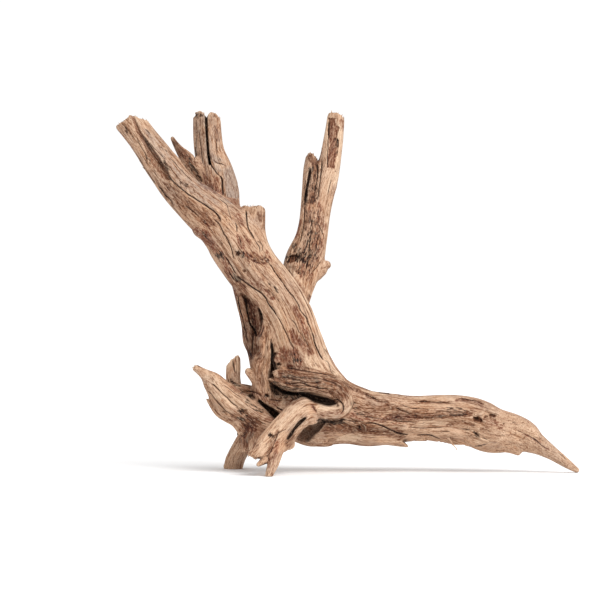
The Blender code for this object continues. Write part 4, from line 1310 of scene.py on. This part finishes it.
def grain_of(points):
    """Each point's place along the grain of the nearest limb in each slot, each slot's share, the way
    that the grain runs, and how near it is to a broken end."""
    count = len(points)
    best = np.full((FIBRE_SLOTS, count), FAR_OFF)
    place = np.zeros((FIBRE_SLOTS, count, 3), np.float32)
    way = np.zeros((FIBRE_SLOTS, count, 3), np.float32)
    broken = np.zeros((FIBRE_SLOTS, count), np.float32)
    for limb in LIMBS.values():
        near = limb.near(points, 10.0)
        skin, _, run, u, v = limb.field(points[near])
        rows = limb.between(run)
        closer = skin < best[limb.slot, near]
        chosen = near[closer]
        best[limb.slot, chosen] = skin[closer]
        place[limb.slot, chosen] = np.stack([run + 61.0 * limb.number, u, v], axis=1)[closer]
        way[limb.slot, chosen] = rows[closer, 3:6]
        end = np.zeros(len(near), np.float32)
        for profile, past in ((limb.tip, run - limb.length), (limb.start, -run)):
            if profile is not None:
                reach = np.interp(u, [p[0] for p in profile], [p[1] for p in profile])
                end = np.maximum(end, ramp(past - reach, -1.8, 0.2))
        broken[limb.slot, chosen] = end[closer]
    share = ramp(best - best.min(axis=0), GRAIN_BLEND, 0.0) + 1e-4
    share = share / share.sum(axis=0)
    return place, share.T, unit((way * share[:, :, None]).sum(axis=0)), (broken * share).sum(axis=0)


def add_attribute(data, name, values):
    kind = "FLOAT" if values.ndim == 1 else "FLOAT_VECTOR"
    layer = data.attributes.new(name, kind, "POINT")
    layer.data.foreach_set("value" if values.ndim == 1 else "vector",
                           np.ascontiguousarray(values, np.float32).ravel())


# How far out from the skin the shelter of other limbs is felt, for the painted shade where they crowd close,
# and how deep the open groove's floor lies
NEAR_AIR = 3.5
FAR_AIR = 11.0
GROOVE_DEPTH = 6.5


def mark_skin(thing):
    """Write on each vertex what the finish needs: grain, cracks, relief, shelter for the painted shade of
    recesses, the painted shade of hollows, and stains and painted shadows.
    """
    data = thing.data
    count = len(data.vertices)
    points = read_vectors(data.vertices, "co", count) / MM
    normals = read_vectors(data.vertex_normals, "vector", count)
    edges = np.empty(len(data.edges) * 2, np.int32)
    data.edges.foreach_get("vertices", edges)
    edges = edges.reshape(-1, 2)
    weight = np.bincount(edges.ravel(), minlength=count).astype(np.float32)
    place, share, way, broken = grain_of(points)
    for slot in range(FIBRE_SLOTS):
        add_attribute(data, f"fibre_{slot}", place[slot])
    add_attribute(data, "share", share)
    add_attribute(data, "grain_way", way)
    x, z, front = from_front(points)
    facing = front * ramp(-normals[:, 1], -0.15, 0.2)
    for i, layer in enumerate(crack_layers()):
        across, near = draw_cracks(layer)
        add_attribute(data, f"crack_{i}", np.stack([across.read(x, z), near.read(x, z) * facing, facing],
                                                   axis=1))
    opened = OPENED.read(x, z) * facing
    sunk = grown_wood(points)[1] - GROOVE_DEPTH * opened
    rounded = even_out(points, edges, weight, 2)
    relief = ((points - rounded) * normals).sum(axis=1)
    # how closely other wood crowds each point, kept for the painted shade of recesses
    near_air, far_air = [grown_wood(points + normals * far)[0] / far for far in (NEAR_AIR, FAR_AIR)]
    shelter = 1 - np.clip(0.5 * near_air + 0.5 * far_air, 0, 1)
    add_attribute(data, "relief", np.stack([sunk, relief, even_out(shelter, edges, weight, 2)], axis=1))
    # painted shade on the walls of the hollows, darkest deep inside
    painted_hollow_shade = np.zeros(count)
    for hole in EARLY_HOLLOWS + LATE_HOLLOWS:
        near = hole.near(points, 3.0)
        skin, _, run, _, v = hole.field(points[near])
        half = hole.between(run)[:, 13]
        deep = ramp(v / half, -0.95, -0.35)
        painted_hollow_shade[near] = np.maximum(painted_hollow_shade[near], hole.shade * ramp(skin, 1.3, 0.1) * deep)
    add_attribute(data, "painted_hollow_shade", even_out(painted_hollow_shade, edges, weight, 1))
    add_attribute(data, "opened", opened)
    sheets = draw_stains_and_shadows()
    stains_and_shadows = [sheets[tint].read(x, z) * facing for tint in TINTS]
    add_attribute(data, "stain_and_shadow_a", np.stack(stains_and_shadows[:3], axis=1))
    add_attribute(data, "stain_b", np.stack(stains_and_shadows[3:] + [broken], axis=1))


vertices, faces = largest_piece(*skin_of_wood())
driftwood = mesh_from("weathered_driftwood", vertices, faces)
fewer_faces(driftwood, MOST_TRIANGLES)
mark_skin(driftwood)
driftwood.data.shade_smooth()

# The looks start here


def colour(*levels):
    """A colour as paint is matched, 0 to 255, in the light values that a shader takes."""
    light = [(v / 255 / 12.92) if v < 10 else ((v / 255 + 0.055) / 1.055) ** 2.4 for v in levels]
    return tuple(light) + (1.0,)


class Bench:
    """Adds nodes to a tree, one call to a node, and links what is given to it."""

    def __init__(self, tree):
        self.tree = tree

    def add(self, kind, inputs=None, **settings):
        node = self.tree.nodes.new(kind)
        for name, value in settings.items():
            setattr(node, name, value)
        for name, value in (inputs or {}).items():
            if isinstance(value, bpy.types.NodeSocket):
                self.tree.links.new(value, node.inputs[name])
            else:
                node.inputs[name].default_value = value
        return node

    def sum(self, operation, *values, clamp=False):
        return self.add("ShaderNodeMath", dict(enumerate(values)), operation=operation,
                        use_clamp=clamp).outputs[0]

    def mix(self, share, a, b):
        return self.add("ShaderNodeMix", {0: share, 6: a, 7: b}, data_type="RGBA").outputs[2]

    def tint(self, share, a, b):
        """Lays a thin stain of colour b over a, so that the streaks beneath still show."""
        return self.add("ShaderNodeMix", {0: share, 6: a, 7: b}, data_type="RGBA",
                        blend_type="MULTIPLY").outputs[2]

    def ramp(self, value, low, high, start=0.0, end=1.0):
        """From start at low to end at high, smooth between. It falls where low is above high."""
        if low > high:
            low, high, start, end = high, low, end, start
        given = {"Value": value, "From Min": low, "From Max": high, "To Min": start, "To Max": end}
        return self.add("ShaderNodeMapRange", given, interpolation_type="SMOOTHSTEP").outputs[0]

    def attribute(self, name):
        return self.add("ShaderNodeAttribute", attribute_name=name)

    def parts(self, name):
        """The three values that a vector attribute holds."""
        return self.add("ShaderNodeSeparateXYZ", {0: self.attribute(name).outputs["Vector"]}).outputs

    def place(self, tree, inputs):
        return self.add("ShaderNodeGroup", inputs, node_tree=tree).outputs


def new_group(name, inputs, outputs):
    """An empty shader group with named inputs and outputs, its bench, its inputs and its output node."""
    tree = bpy.data.node_groups.new(name, "ShaderNodeTree")
    for label, value in inputs.items():
        kind = "NodeSocketVector" if isinstance(value, tuple) else "NodeSocketFloat"
        tree.interface.new_socket(label, in_out="INPUT", socket_type=kind).default_value = value
    for label in outputs:
        tree.interface.new_socket(label, in_out="OUTPUT", socket_type="NodeSocketFloat")
    bench = Bench(tree)
    return tree, bench, bench.add("NodeGroupInput").outputs, bench.add("NodeGroupOutput")


def make_grain_group():
    """Streaks that run along the wood's fibres, from the grain written on the skin. Width and length are
    in millimetres. Fold is 0 on thin lines between streaks."""
    tree, bench, given, out = new_group("Weathered grain",
                                        {"Width": 2.0, "Length": 40.0, "Offset": 0.0, "Detail": 2.0},
                                        ["Streak", "Fold"])
    wide = bench.sum("DIVIDE", 1.0, given["Width"])
    long = bench.sum("DIVIDE", 1.0, given["Length"])
    scale = bench.add("ShaderNodeCombineXYZ", {0: long, 1: wide, 2: wide}).outputs[0]
    shares = bench.parts("share")
    streak, fold = 0.0, 0.0
    for slot in range(FIBRE_SLOTS):
        place = bench.attribute(f"fibre_{slot}").outputs["Vector"]
        place = bench.add("ShaderNodeVectorMath", {0: place, 1: scale}, operation="MULTIPLY").outputs[0]
        place = bench.add("ShaderNodeVectorMath", {0: place, 1: given["Offset"]},
                          operation="ADD").outputs[0]
        value = bench.add("ShaderNodeTexNoise", {"Vector": place, "Scale": 1.0, "Detail": given["Detail"],
                                                 "Roughness": 0.55}).outputs["Fac"]
        line = bench.sum("ABSOLUTE", bench.sum("SUBTRACT", value, 0.5))
        streak = bench.sum("MULTIPLY_ADD", value, shares[slot], streak)
        fold = bench.sum("MULTIPLY_ADD", line, shares[slot], fold)
    bench.tree.links.new(streak, out.inputs["Streak"])
    bench.tree.links.new(fold, out.inputs["Fold"])
    return tree


def make_stain_group():
    """A stain of a given strength, broken into blotches of a given size in millimetres."""
    tree, bench, given, out = new_group("Broken stain",
                                        {"Strength": 0.5, "Size": 4.0, "Break up": 0.6, "Edge": 0.15,
                                         "Grain": 0.5},
                                        ["Mask"])
    place = bench.add("ShaderNodeTexCoord").outputs["Object"]
    size = bench.sum("DIVIDE", 1000.0, given["Size"])
    blotch = bench.add("ShaderNodeTexNoise", {"Vector": place, "Scale": size, "Detail": 3.5,
                                              "Roughness": 0.6})
    streaks = bench.sum("MULTIPLY", bench.sum("SUBTRACT", given["Grain"], 0.5), 1.5)
    blotch = bench.sum("ADD", blotch.outputs["Fac"], streaks)
    swing = bench.sum("MULTIPLY", bench.sum("SUBTRACT", blotch, 0.5),
                      bench.sum("MULTIPLY", given["Break up"], 5.0))
    level = bench.sum("MULTIPLY_ADD", given["Strength"], 0.85, swing)
    low = bench.sum("SUBTRACT", 0.5, given["Edge"])
    high = bench.sum("ADD", 0.5, given["Edge"])
    mask = bench.add("ShaderNodeMapRange", {"Value": level, "From Min": low, "From Max": high},
                     interpolation_type="SMOOTHSTEP").outputs[0]
    mask = bench.sum("MULTIPLY", mask, bench.ramp(given["Strength"], 0.02, 0.25))
    bench.tree.links.new(mask, out.inputs["Mask"])
    return tree


def make_crack_group():
    """The lines of the front's cracks, from their distances written on the skin."""
    tree, bench, _, out = new_group("Drying cracks", {}, ["Line"])
    line = 0.0
    for i in range(CRACK_LAYERS):
        across, near, _ = bench.parts(f"crack_{i}")
        far = bench.sum("ABSOLUTE", across)
        one = bench.sum("MULTIPLY", bench.ramp(far, 1.0, 0.45), bench.ramp(near, 0.15, 0.6))
        line = bench.sum("MAXIMUM", one, line)
    bench.tree.links.new(line, out.inputs["Line"])
    return tree


GRAIN = make_grain_group()
STAIN = make_stain_group()
CRACK = make_crack_group()

BLEACHED = colour(212, 177, 149)
TAN = colour(176, 140, 113)
BARK_BROWN = colour(112, 76, 54)
STONE_GREY = colour(142, 128, 120)
CREAM = colour(230, 202, 173)
CREVICE_SHADE = colour(38, 23, 17)
HONEY = colour(190, 138, 96)
RED_STAIN = colour(190, 157, 145)
BROWN_STAIN_AND_SHADE = colour(178, 151, 135)
DARK_STAIN_AND_SHADOW = colour(150, 138, 130)
SHELTER_SHADE = colour(112, 98, 90)
OPENED_FLOOR = colour(136, 94, 70)
FIBRE_SHADE = colour(202, 182, 168)

# Where along the right root the fibres give way to a sandy grain, in metres
SANDY_FROM = 0.106
SANDY_TO = 0.135
SAND_SCALE = 950.0


def driftwood_skin():
    """Bleached tan wood with long streaks, stained patches and worn pale ridges, and painted shade that
    darkens its cracks, creases, recesses and hollows.
    """
    material = bpy.data.materials.new("weathered_driftwood_skin")
    material.use_nodes = True
    tree = material.node_tree
    tree.nodes.clear()
    bench = Bench(tree)

    def grain(width, length, offset, detail=2.0):
        return bench.place(GRAIN, {"Width": width, "Length": length, "Offset": offset, "Detail": detail})

    def stain(strength, size, break_up, edge, streak):
        return bench.place(STAIN, {"Strength": strength, "Size": size, "Break up": break_up, "Edge": edge,
                                   "Grain": streak})["Mask"]

    def coat(mask, share, base, paint):
        """Lays a thick paint over the base, which keeps what the share leaves."""
        return bench.mix(bench.sum("MULTIPLY", mask, share), base, paint)

    def on_back(strength):
        return bench.sum("MULTIPLY", back, strength)

    broad = grain(7.0, 90.0, 0.0)["Streak"]
    middle = grain(2.2, 38.0, 7.0)["Streak"]
    fine = grain(0.8, 11.0, 19.0)["Streak"]
    dash = grain(0.62, 2.6, 43.0, 1.0)["Streak"]
    fleck = grain(1.5, 5.0, 57.0, 1.0)["Streak"]
    hair = grain(3.4, 55.0, 31.0, 1.0)
    line = bench.place(CRACK, {})["Line"]
    sunk, relief, shelter = bench.parts("relief")
    opened = bench.attribute("opened").outputs["Fac"]
    painted_hollow_shade = bench.attribute("painted_hollow_shade").outputs["Fac"]
    red, brown, dark = bench.parts("stain_and_shadow_a")
    grey, pale, _ = bench.parts("stain_b")
    back = bench.sum("SUBTRACT", 1.0, bench.parts("crack_0")[2])

    both = bench.sum("MULTIPLY_ADD", broad, 0.6, bench.sum("MULTIPLY", middle, 0.4))
    base = bench.mix(bench.ramp(both, 0.34, 0.64), TAN, BLEACHED)
    for strength, size, break_up, edge, streak, share, paint in (
            (0.42, 34.0, 0.5, 0.3, broad, 0.4, HONEY),
            (0.38, 26.0, 0.5, 0.3, broad, 0.35, STONE_GREY),
            (0.22, 9.0, 0.4, 0.2, middle, 0.22, BARK_BROWN),
            (pale, 9.0, 0.15, 0.35, middle, 0.6, CREAM)):
        base = coat(stain(strength, size, break_up, edge, streak), share, base, paint)
    base = coat(opened, 0.8, base, OPENED_FLOOR)
    base = coat(stain(on_back(0.44), 30.0, 0.25, 0.4, broad), 0.4, base, CREAM)
    for strength, size, break_up, edge, streak, paint in (
            (on_back(0.46), 24.0, 0.25, 0.4, broad, BROWN_STAIN_AND_SHADE),
            (on_back(0.4), 13.0, 0.25, 0.3, middle, RED_STAIN),
            (brown, 6.0, 0.3, 0.4, middle, BROWN_STAIN_AND_SHADE),
            (brown, 2.4, 0.4, 0.4, fleck, BROWN_STAIN_AND_SHADE),
            (red, 4.0, 0.3, 0.4, middle, RED_STAIN),
            (red, 1.8, 0.5, 0.4, fleck, RED_STAIN)):
        base = bench.tint(stain(strength, size, break_up, edge, streak), base, paint)
    base = coat(stain(grey, 8.0, 0.15, 0.4, middle), 0.7, base, STONE_GREY)
    # the dark stains include painted shadows under the ridge and the curl and beside the pillars
    base = bench.tint(stain(dark, 3.6, 0.4, 0.3, fleck), base, DARK_STAIN_AND_SHADOW)
    base = bench.tint(stain(dark, 1.6, 0.45, 0.4, fleck), base, DARK_STAIN_AND_SHADOW)
    base = coat(bench.ramp(relief, 0.0, 0.22), 0.4, base, CREAM)
    # painted shade: browner in creases that sink below the skin around them
    base = bench.tint(bench.ramp(relief, -0.04, -0.3), base, BROWN_STAIN_AND_SHADE)
    # painted shade: darker where other limbs crowd close, standing in for the light that they keep off
    base = bench.tint(bench.ramp(shelter, 0.5, 0.95), base, SHELTER_SHADE)
    place = bench.add("ShaderNodeTexCoord").outputs["Object"]
    rightward = bench.add("ShaderNodeSeparateXYZ", {0: place}).outputs[0]
    sandy = bench.ramp(rightward, SANDY_FROM, SANDY_TO)
    speck = bench.add("ShaderNodeTexNoise", {"Vector": place, "Scale": SAND_SCALE,
                                             "Detail": 1.0}).outputs[0]
    worn = bench.sum("MULTIPLY_ADD", pale, -0.6, 1.0)
    worn = bench.sum("MULTIPLY", worn, bench.sum("MULTIPLY_ADD", sandy, -0.5, 1.0))
    base = bench.tint(bench.sum("MULTIPLY", bench.ramp(speck, 0.5, 0.3), sandy), base, FIBRE_SHADE)
    base = coat(bench.ramp(speck, 0.5, 0.75), bench.sum("MULTIPLY", sandy, 0.25), base, CREAM)
    for streak, low, high in ((middle, 0.46, 0.34), (fine, 0.50, 0.36), (dash, 0.46, 0.30)):
        base = bench.tint(bench.sum("MULTIPLY", bench.ramp(streak, low, high), worn), base, FIBRE_SHADE)
    base = coat(bench.ramp(dash, 0.56, 0.72), 0.35, base, CREAM)
    splits = bench.sum("MULTIPLY", bench.ramp(hair["Fold"], 0.012, 0.003), bench.ramp(middle, 0.58, 0.42))
    base = bench.tint(bench.sum("MULTIPLY", splits, 0.9), base, DARK_STAIN_AND_SHADOW)
    # painted shade: near black on the deep walls of the hollows
    base = coat(painted_hollow_shade, 0.8, base, CREVICE_SHADE)
    # painted shade: browner where the marks cut deeper, and near black in the deepest cuts and in the back's
    # clefts
    base = bench.tint(bench.ramp(sunk, 0.8, 2.0), base, BROWN_STAIN_AND_SHADE)
    cleft = bench.sum("MULTIPLY", bench.ramp(sunk, 0.7, 1.7), back)
    base = coat(bench.sum("MAXIMUM", bench.ramp(sunk, 2.0, 4.6), cleft), 0.8, base, CREVICE_SHADE)
    # painted shade: the crack lines are darkened near black
    base = coat(line, 0.8, base, CREVICE_SHADE)

    height = 0.0
    for rise, share in ((middle, 0.9), (fine, 0.6), (dash, 0.8), (splits, -0.4),
                        (speck, bench.sum("MULTIPLY", sandy, 0.7)), (line, -0.9)):
        height = bench.sum("MULTIPLY_ADD", rise, share, height)
    bump = bench.add("ShaderNodeBump", {"Strength": 0.8, "Distance": MM, "Height": height}).outputs[0]
    rough = bench.ramp(both, 0.3, 0.7, 0.9, 0.74)
    shader = bench.add("ShaderNodeBsdfPrincipled", {"Base Color": base, "Roughness": rough, "Normal": bump,
                                                    "Specular IOR Level": 0.25})
    out = bench.add("ShaderNodeOutputMaterial")
    tree.links.new(shader.outputs[0], out.inputs[0])
    return material


FLOOR_REACH = 30.0


def plain_floor():
    """A wide pale floor."""
    data = bpy.data.meshes.new("pale_floor")
    corners = [(-FLOOR_REACH, -FLOOR_REACH, 0), (FLOOR_REACH, -FLOOR_REACH, 0),
               (FLOOR_REACH, FLOOR_REACH, 0), (-FLOOR_REACH, FLOOR_REACH, 0)]
    data.from_pydata(corners, [], [(0, 1, 2, 3)])
    floor = placed("pale_floor", data)
    material = bpy.data.materials.new("pale_floor_paper")
    material.use_nodes = True
    shader = material.node_tree.nodes["Principled BSDF"]
    shader.inputs["Base Color"].default_value = (0.97, 0.97, 0.97, 1.0)
    shader.inputs["Roughness"].default_value = 0.9
    shader.inputs["Specular IOR Level"].default_value = 0.1
    data.materials.append(material)


ROOM_LIGHT = 0.78
SEEN_ROOM = 1.05
SUN_LIGHT = 2.4
SUN_WIDTH = 40.0
SUN_HEADING = (-0.5, 0.62, -0.8)


def studio():
    """A white room: a high soft sun from the right, and soft light from all around. The room itself is seen
    brighter than it shines, so the picture's ground stays white."""
    world = bpy.data.worlds.new("white_studio")
    world.use_nodes = True
    bench = Bench(world.node_tree)
    ground = world.node_tree.nodes["Background"]
    ground.inputs["Color"].default_value = (1.0, 1.0, 1.0, 1.0)
    seen = bench.add("ShaderNodeLightPath").outputs["Is Camera Ray"]
    strength = bench.sum("MULTIPLY_ADD", seen, SEEN_ROOM - ROOM_LIGHT, ROOM_LIGHT)
    world.node_tree.links.new(strength, ground.inputs["Strength"])
    bpy.context.scene.world = world
    bpy.context.scene.view_settings.view_transform = "Standard"
    light = bpy.data.lights.new("soft_sun", "SUN")
    light.energy = SUN_LIGHT
    light.angle = math.radians(SUN_WIDTH)
    lamp = placed("soft_sun", light)
    lamp.rotation_euler = Vector(SUN_HEADING).to_track_quat("-Z", "Y").to_euler()


def front_camera():
    data = bpy.data.cameras.new("front_camera")
    data.lens = VIEW_LENS
    data.sensor_width = VIEW_SENSOR
    camera = placed("front_camera", data)
    camera.location = (VIEW_X * MM, -VIEW_DISTANCE * MM, VIEW_Z * MM)
    camera.rotation_euler = (math.radians(90), 0.0, 0.0)
    bpy.context.scene.camera = camera


# How far a loose fibre leans out from the grain, and the share of its length that is in the wood
FIBRE_RISE = 0.22
FIBRE_ROOT = 0.3


def loose_fibres_tree():
    """Torn fibres that stand on the broken ends, each along the grain, and here and there on the skin."""
    tree = bpy.data.node_groups.new("Loose fibres", "GeometryNodeTree")
    sides = tree.interface
    sides.new_socket("Wood", in_out="INPUT", socket_type="NodeSocketGeometry")
    for name, kind, value in (("Fibres on broken ends", "NodeSocketFloat", 70000.0),
                              ("Fibres elsewhere", "NodeSocketFloat", 500.0),
                              ("Thickness", "NodeSocketFloat", 0.0005),
                              ("Length", "NodeSocketFloat", 0.0034),
                              ("Seed", "NodeSocketInt", 5), ("Skin", "NodeSocketMaterial", None)):
        socket = sides.new_socket(name, in_out="INPUT", socket_type=kind)
        if value is not None:
            socket.default_value = value
    sides.new_socket("Wood with fibres", in_out="OUTPUT", socket_type="NodeSocketGeometry")
    bench = Bench(tree)
    given = bench.add("NodeGroupInput").outputs
    out = bench.add("NodeGroupOutput")

    def active(node):
        return next(socket for socket in node.outputs if socket.enabled)

    def named(name):
        return active(bench.add("GeometryNodeInputNamedAttribute", {"Name": name},
                                data_type="FLOAT_VECTOR"))

    def scaled(direction, size):
        return bench.add("ShaderNodeVectorMath", {0: direction, 3: size}, operation="SCALE").outputs[0]

    parts = bench.add("ShaderNodeSeparateXYZ", {"Vector": named("stain_b")})
    ends = bench.sum("MULTIPLY", bench.sum("POWER", parts.outputs["Z"], 2.0),
                     given["Fibres on broken ends"])
    crowd = bench.sum("ADD", ends, given["Fibres elsewhere"])
    points = bench.add("GeometryNodeDistributePointsOnFaces", {"Mesh": given["Wood"], "Density": crowd,
                                                               "Seed": given["Seed"]})
    way = named("grain_way")
    normal = points.outputs["Normal"]
    outward = bench.add("ShaderNodeVectorMath", {0: way, 1: normal},
                        operation="DOT_PRODUCT").outputs["Value"]
    forward = bench.sum("MULTIPLY_ADD", bench.sum("GREATER_THAN", outward, 0.0), 2.0, -1.0)
    heading = bench.add("ShaderNodeVectorMath",
                        {0: scaled(way, forward), 1: scaled(normal, FIBRE_RISE)}).outputs[0]
    turn = bench.add("FunctionNodeAlignRotationToVector", {"Vector": heading}, axis="Z")
    chance = active(bench.add("FunctionNodeRandomValue", {"Seed": given["Seed"]}, data_type="FLOAT"))
    long = bench.sum("MULTIPLY", bench.sum("MULTIPLY_ADD", chance, 0.75, 0.25), given["Length"])
    thick = bench.sum("MULTIPLY", bench.sum("MULTIPLY_ADD", chance, 0.5, 0.6), given["Thickness"])
    size = bench.add("ShaderNodeCombineXYZ", {"X": thick, "Y": thick, "Z": long})
    fibre = bench.add("GeometryNodeMeshCone", {"Vertices": 5, "Radius Top": 0.15, "Radius Bottom": 1.0,
                                               "Depth": 1.0})
    sunk_in = scaled(heading, bench.sum("MULTIPLY", long, -FIBRE_ROOT))
    rooted = bench.add("GeometryNodeSetPosition", {"Geometry": points.outputs["Points"], "Offset": sunk_in})
    fibres = bench.add("GeometryNodeInstanceOnPoints",
                       {"Points": rooted.outputs[0], "Instance": fibre.outputs["Mesh"],
                        "Rotation": turn.outputs[0], "Scale": size.outputs[0]})
    together = bench.add("GeometryNodeJoinGeometry")
    tree.links.new(fibres.outputs[0], together.inputs[0])
    tree.links.new(given["Wood"], together.inputs[0])
    real = bench.add("GeometryNodeRealizeInstances", {"Geometry": together.outputs[0]})
    smooth = bench.add("GeometryNodeSetShadeSmooth", {"Geometry": real.outputs[0]})
    coat = bench.add("GeometryNodeSetMaterial", {"Geometry": smooth.outputs[0], "Material": given["Skin"]})
    tree.links.new(coat.outputs[0], out.inputs["Wood with fibres"])
    return tree


def grow_loose_fibres(thing, skin):
    tree = loose_fibres_tree()
    growth = thing.modifiers.new("Loose fibres", "NODES")
    growth.node_group = tree
    sockets = {item.name: item.identifier for item in tree.interface.items_tree if item.in_out == "INPUT"}
    growth[sockets["Skin"]] = skin
    settle(thing)


driftwood.data.materials.clear()
wood_skin = driftwood_skin()
driftwood.data.materials.append(wood_skin)
grow_loose_fibres(driftwood, wood_skin)
plain_floor()
studio()
front_camera()

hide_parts("driftwood")
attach(driftwood, "root")
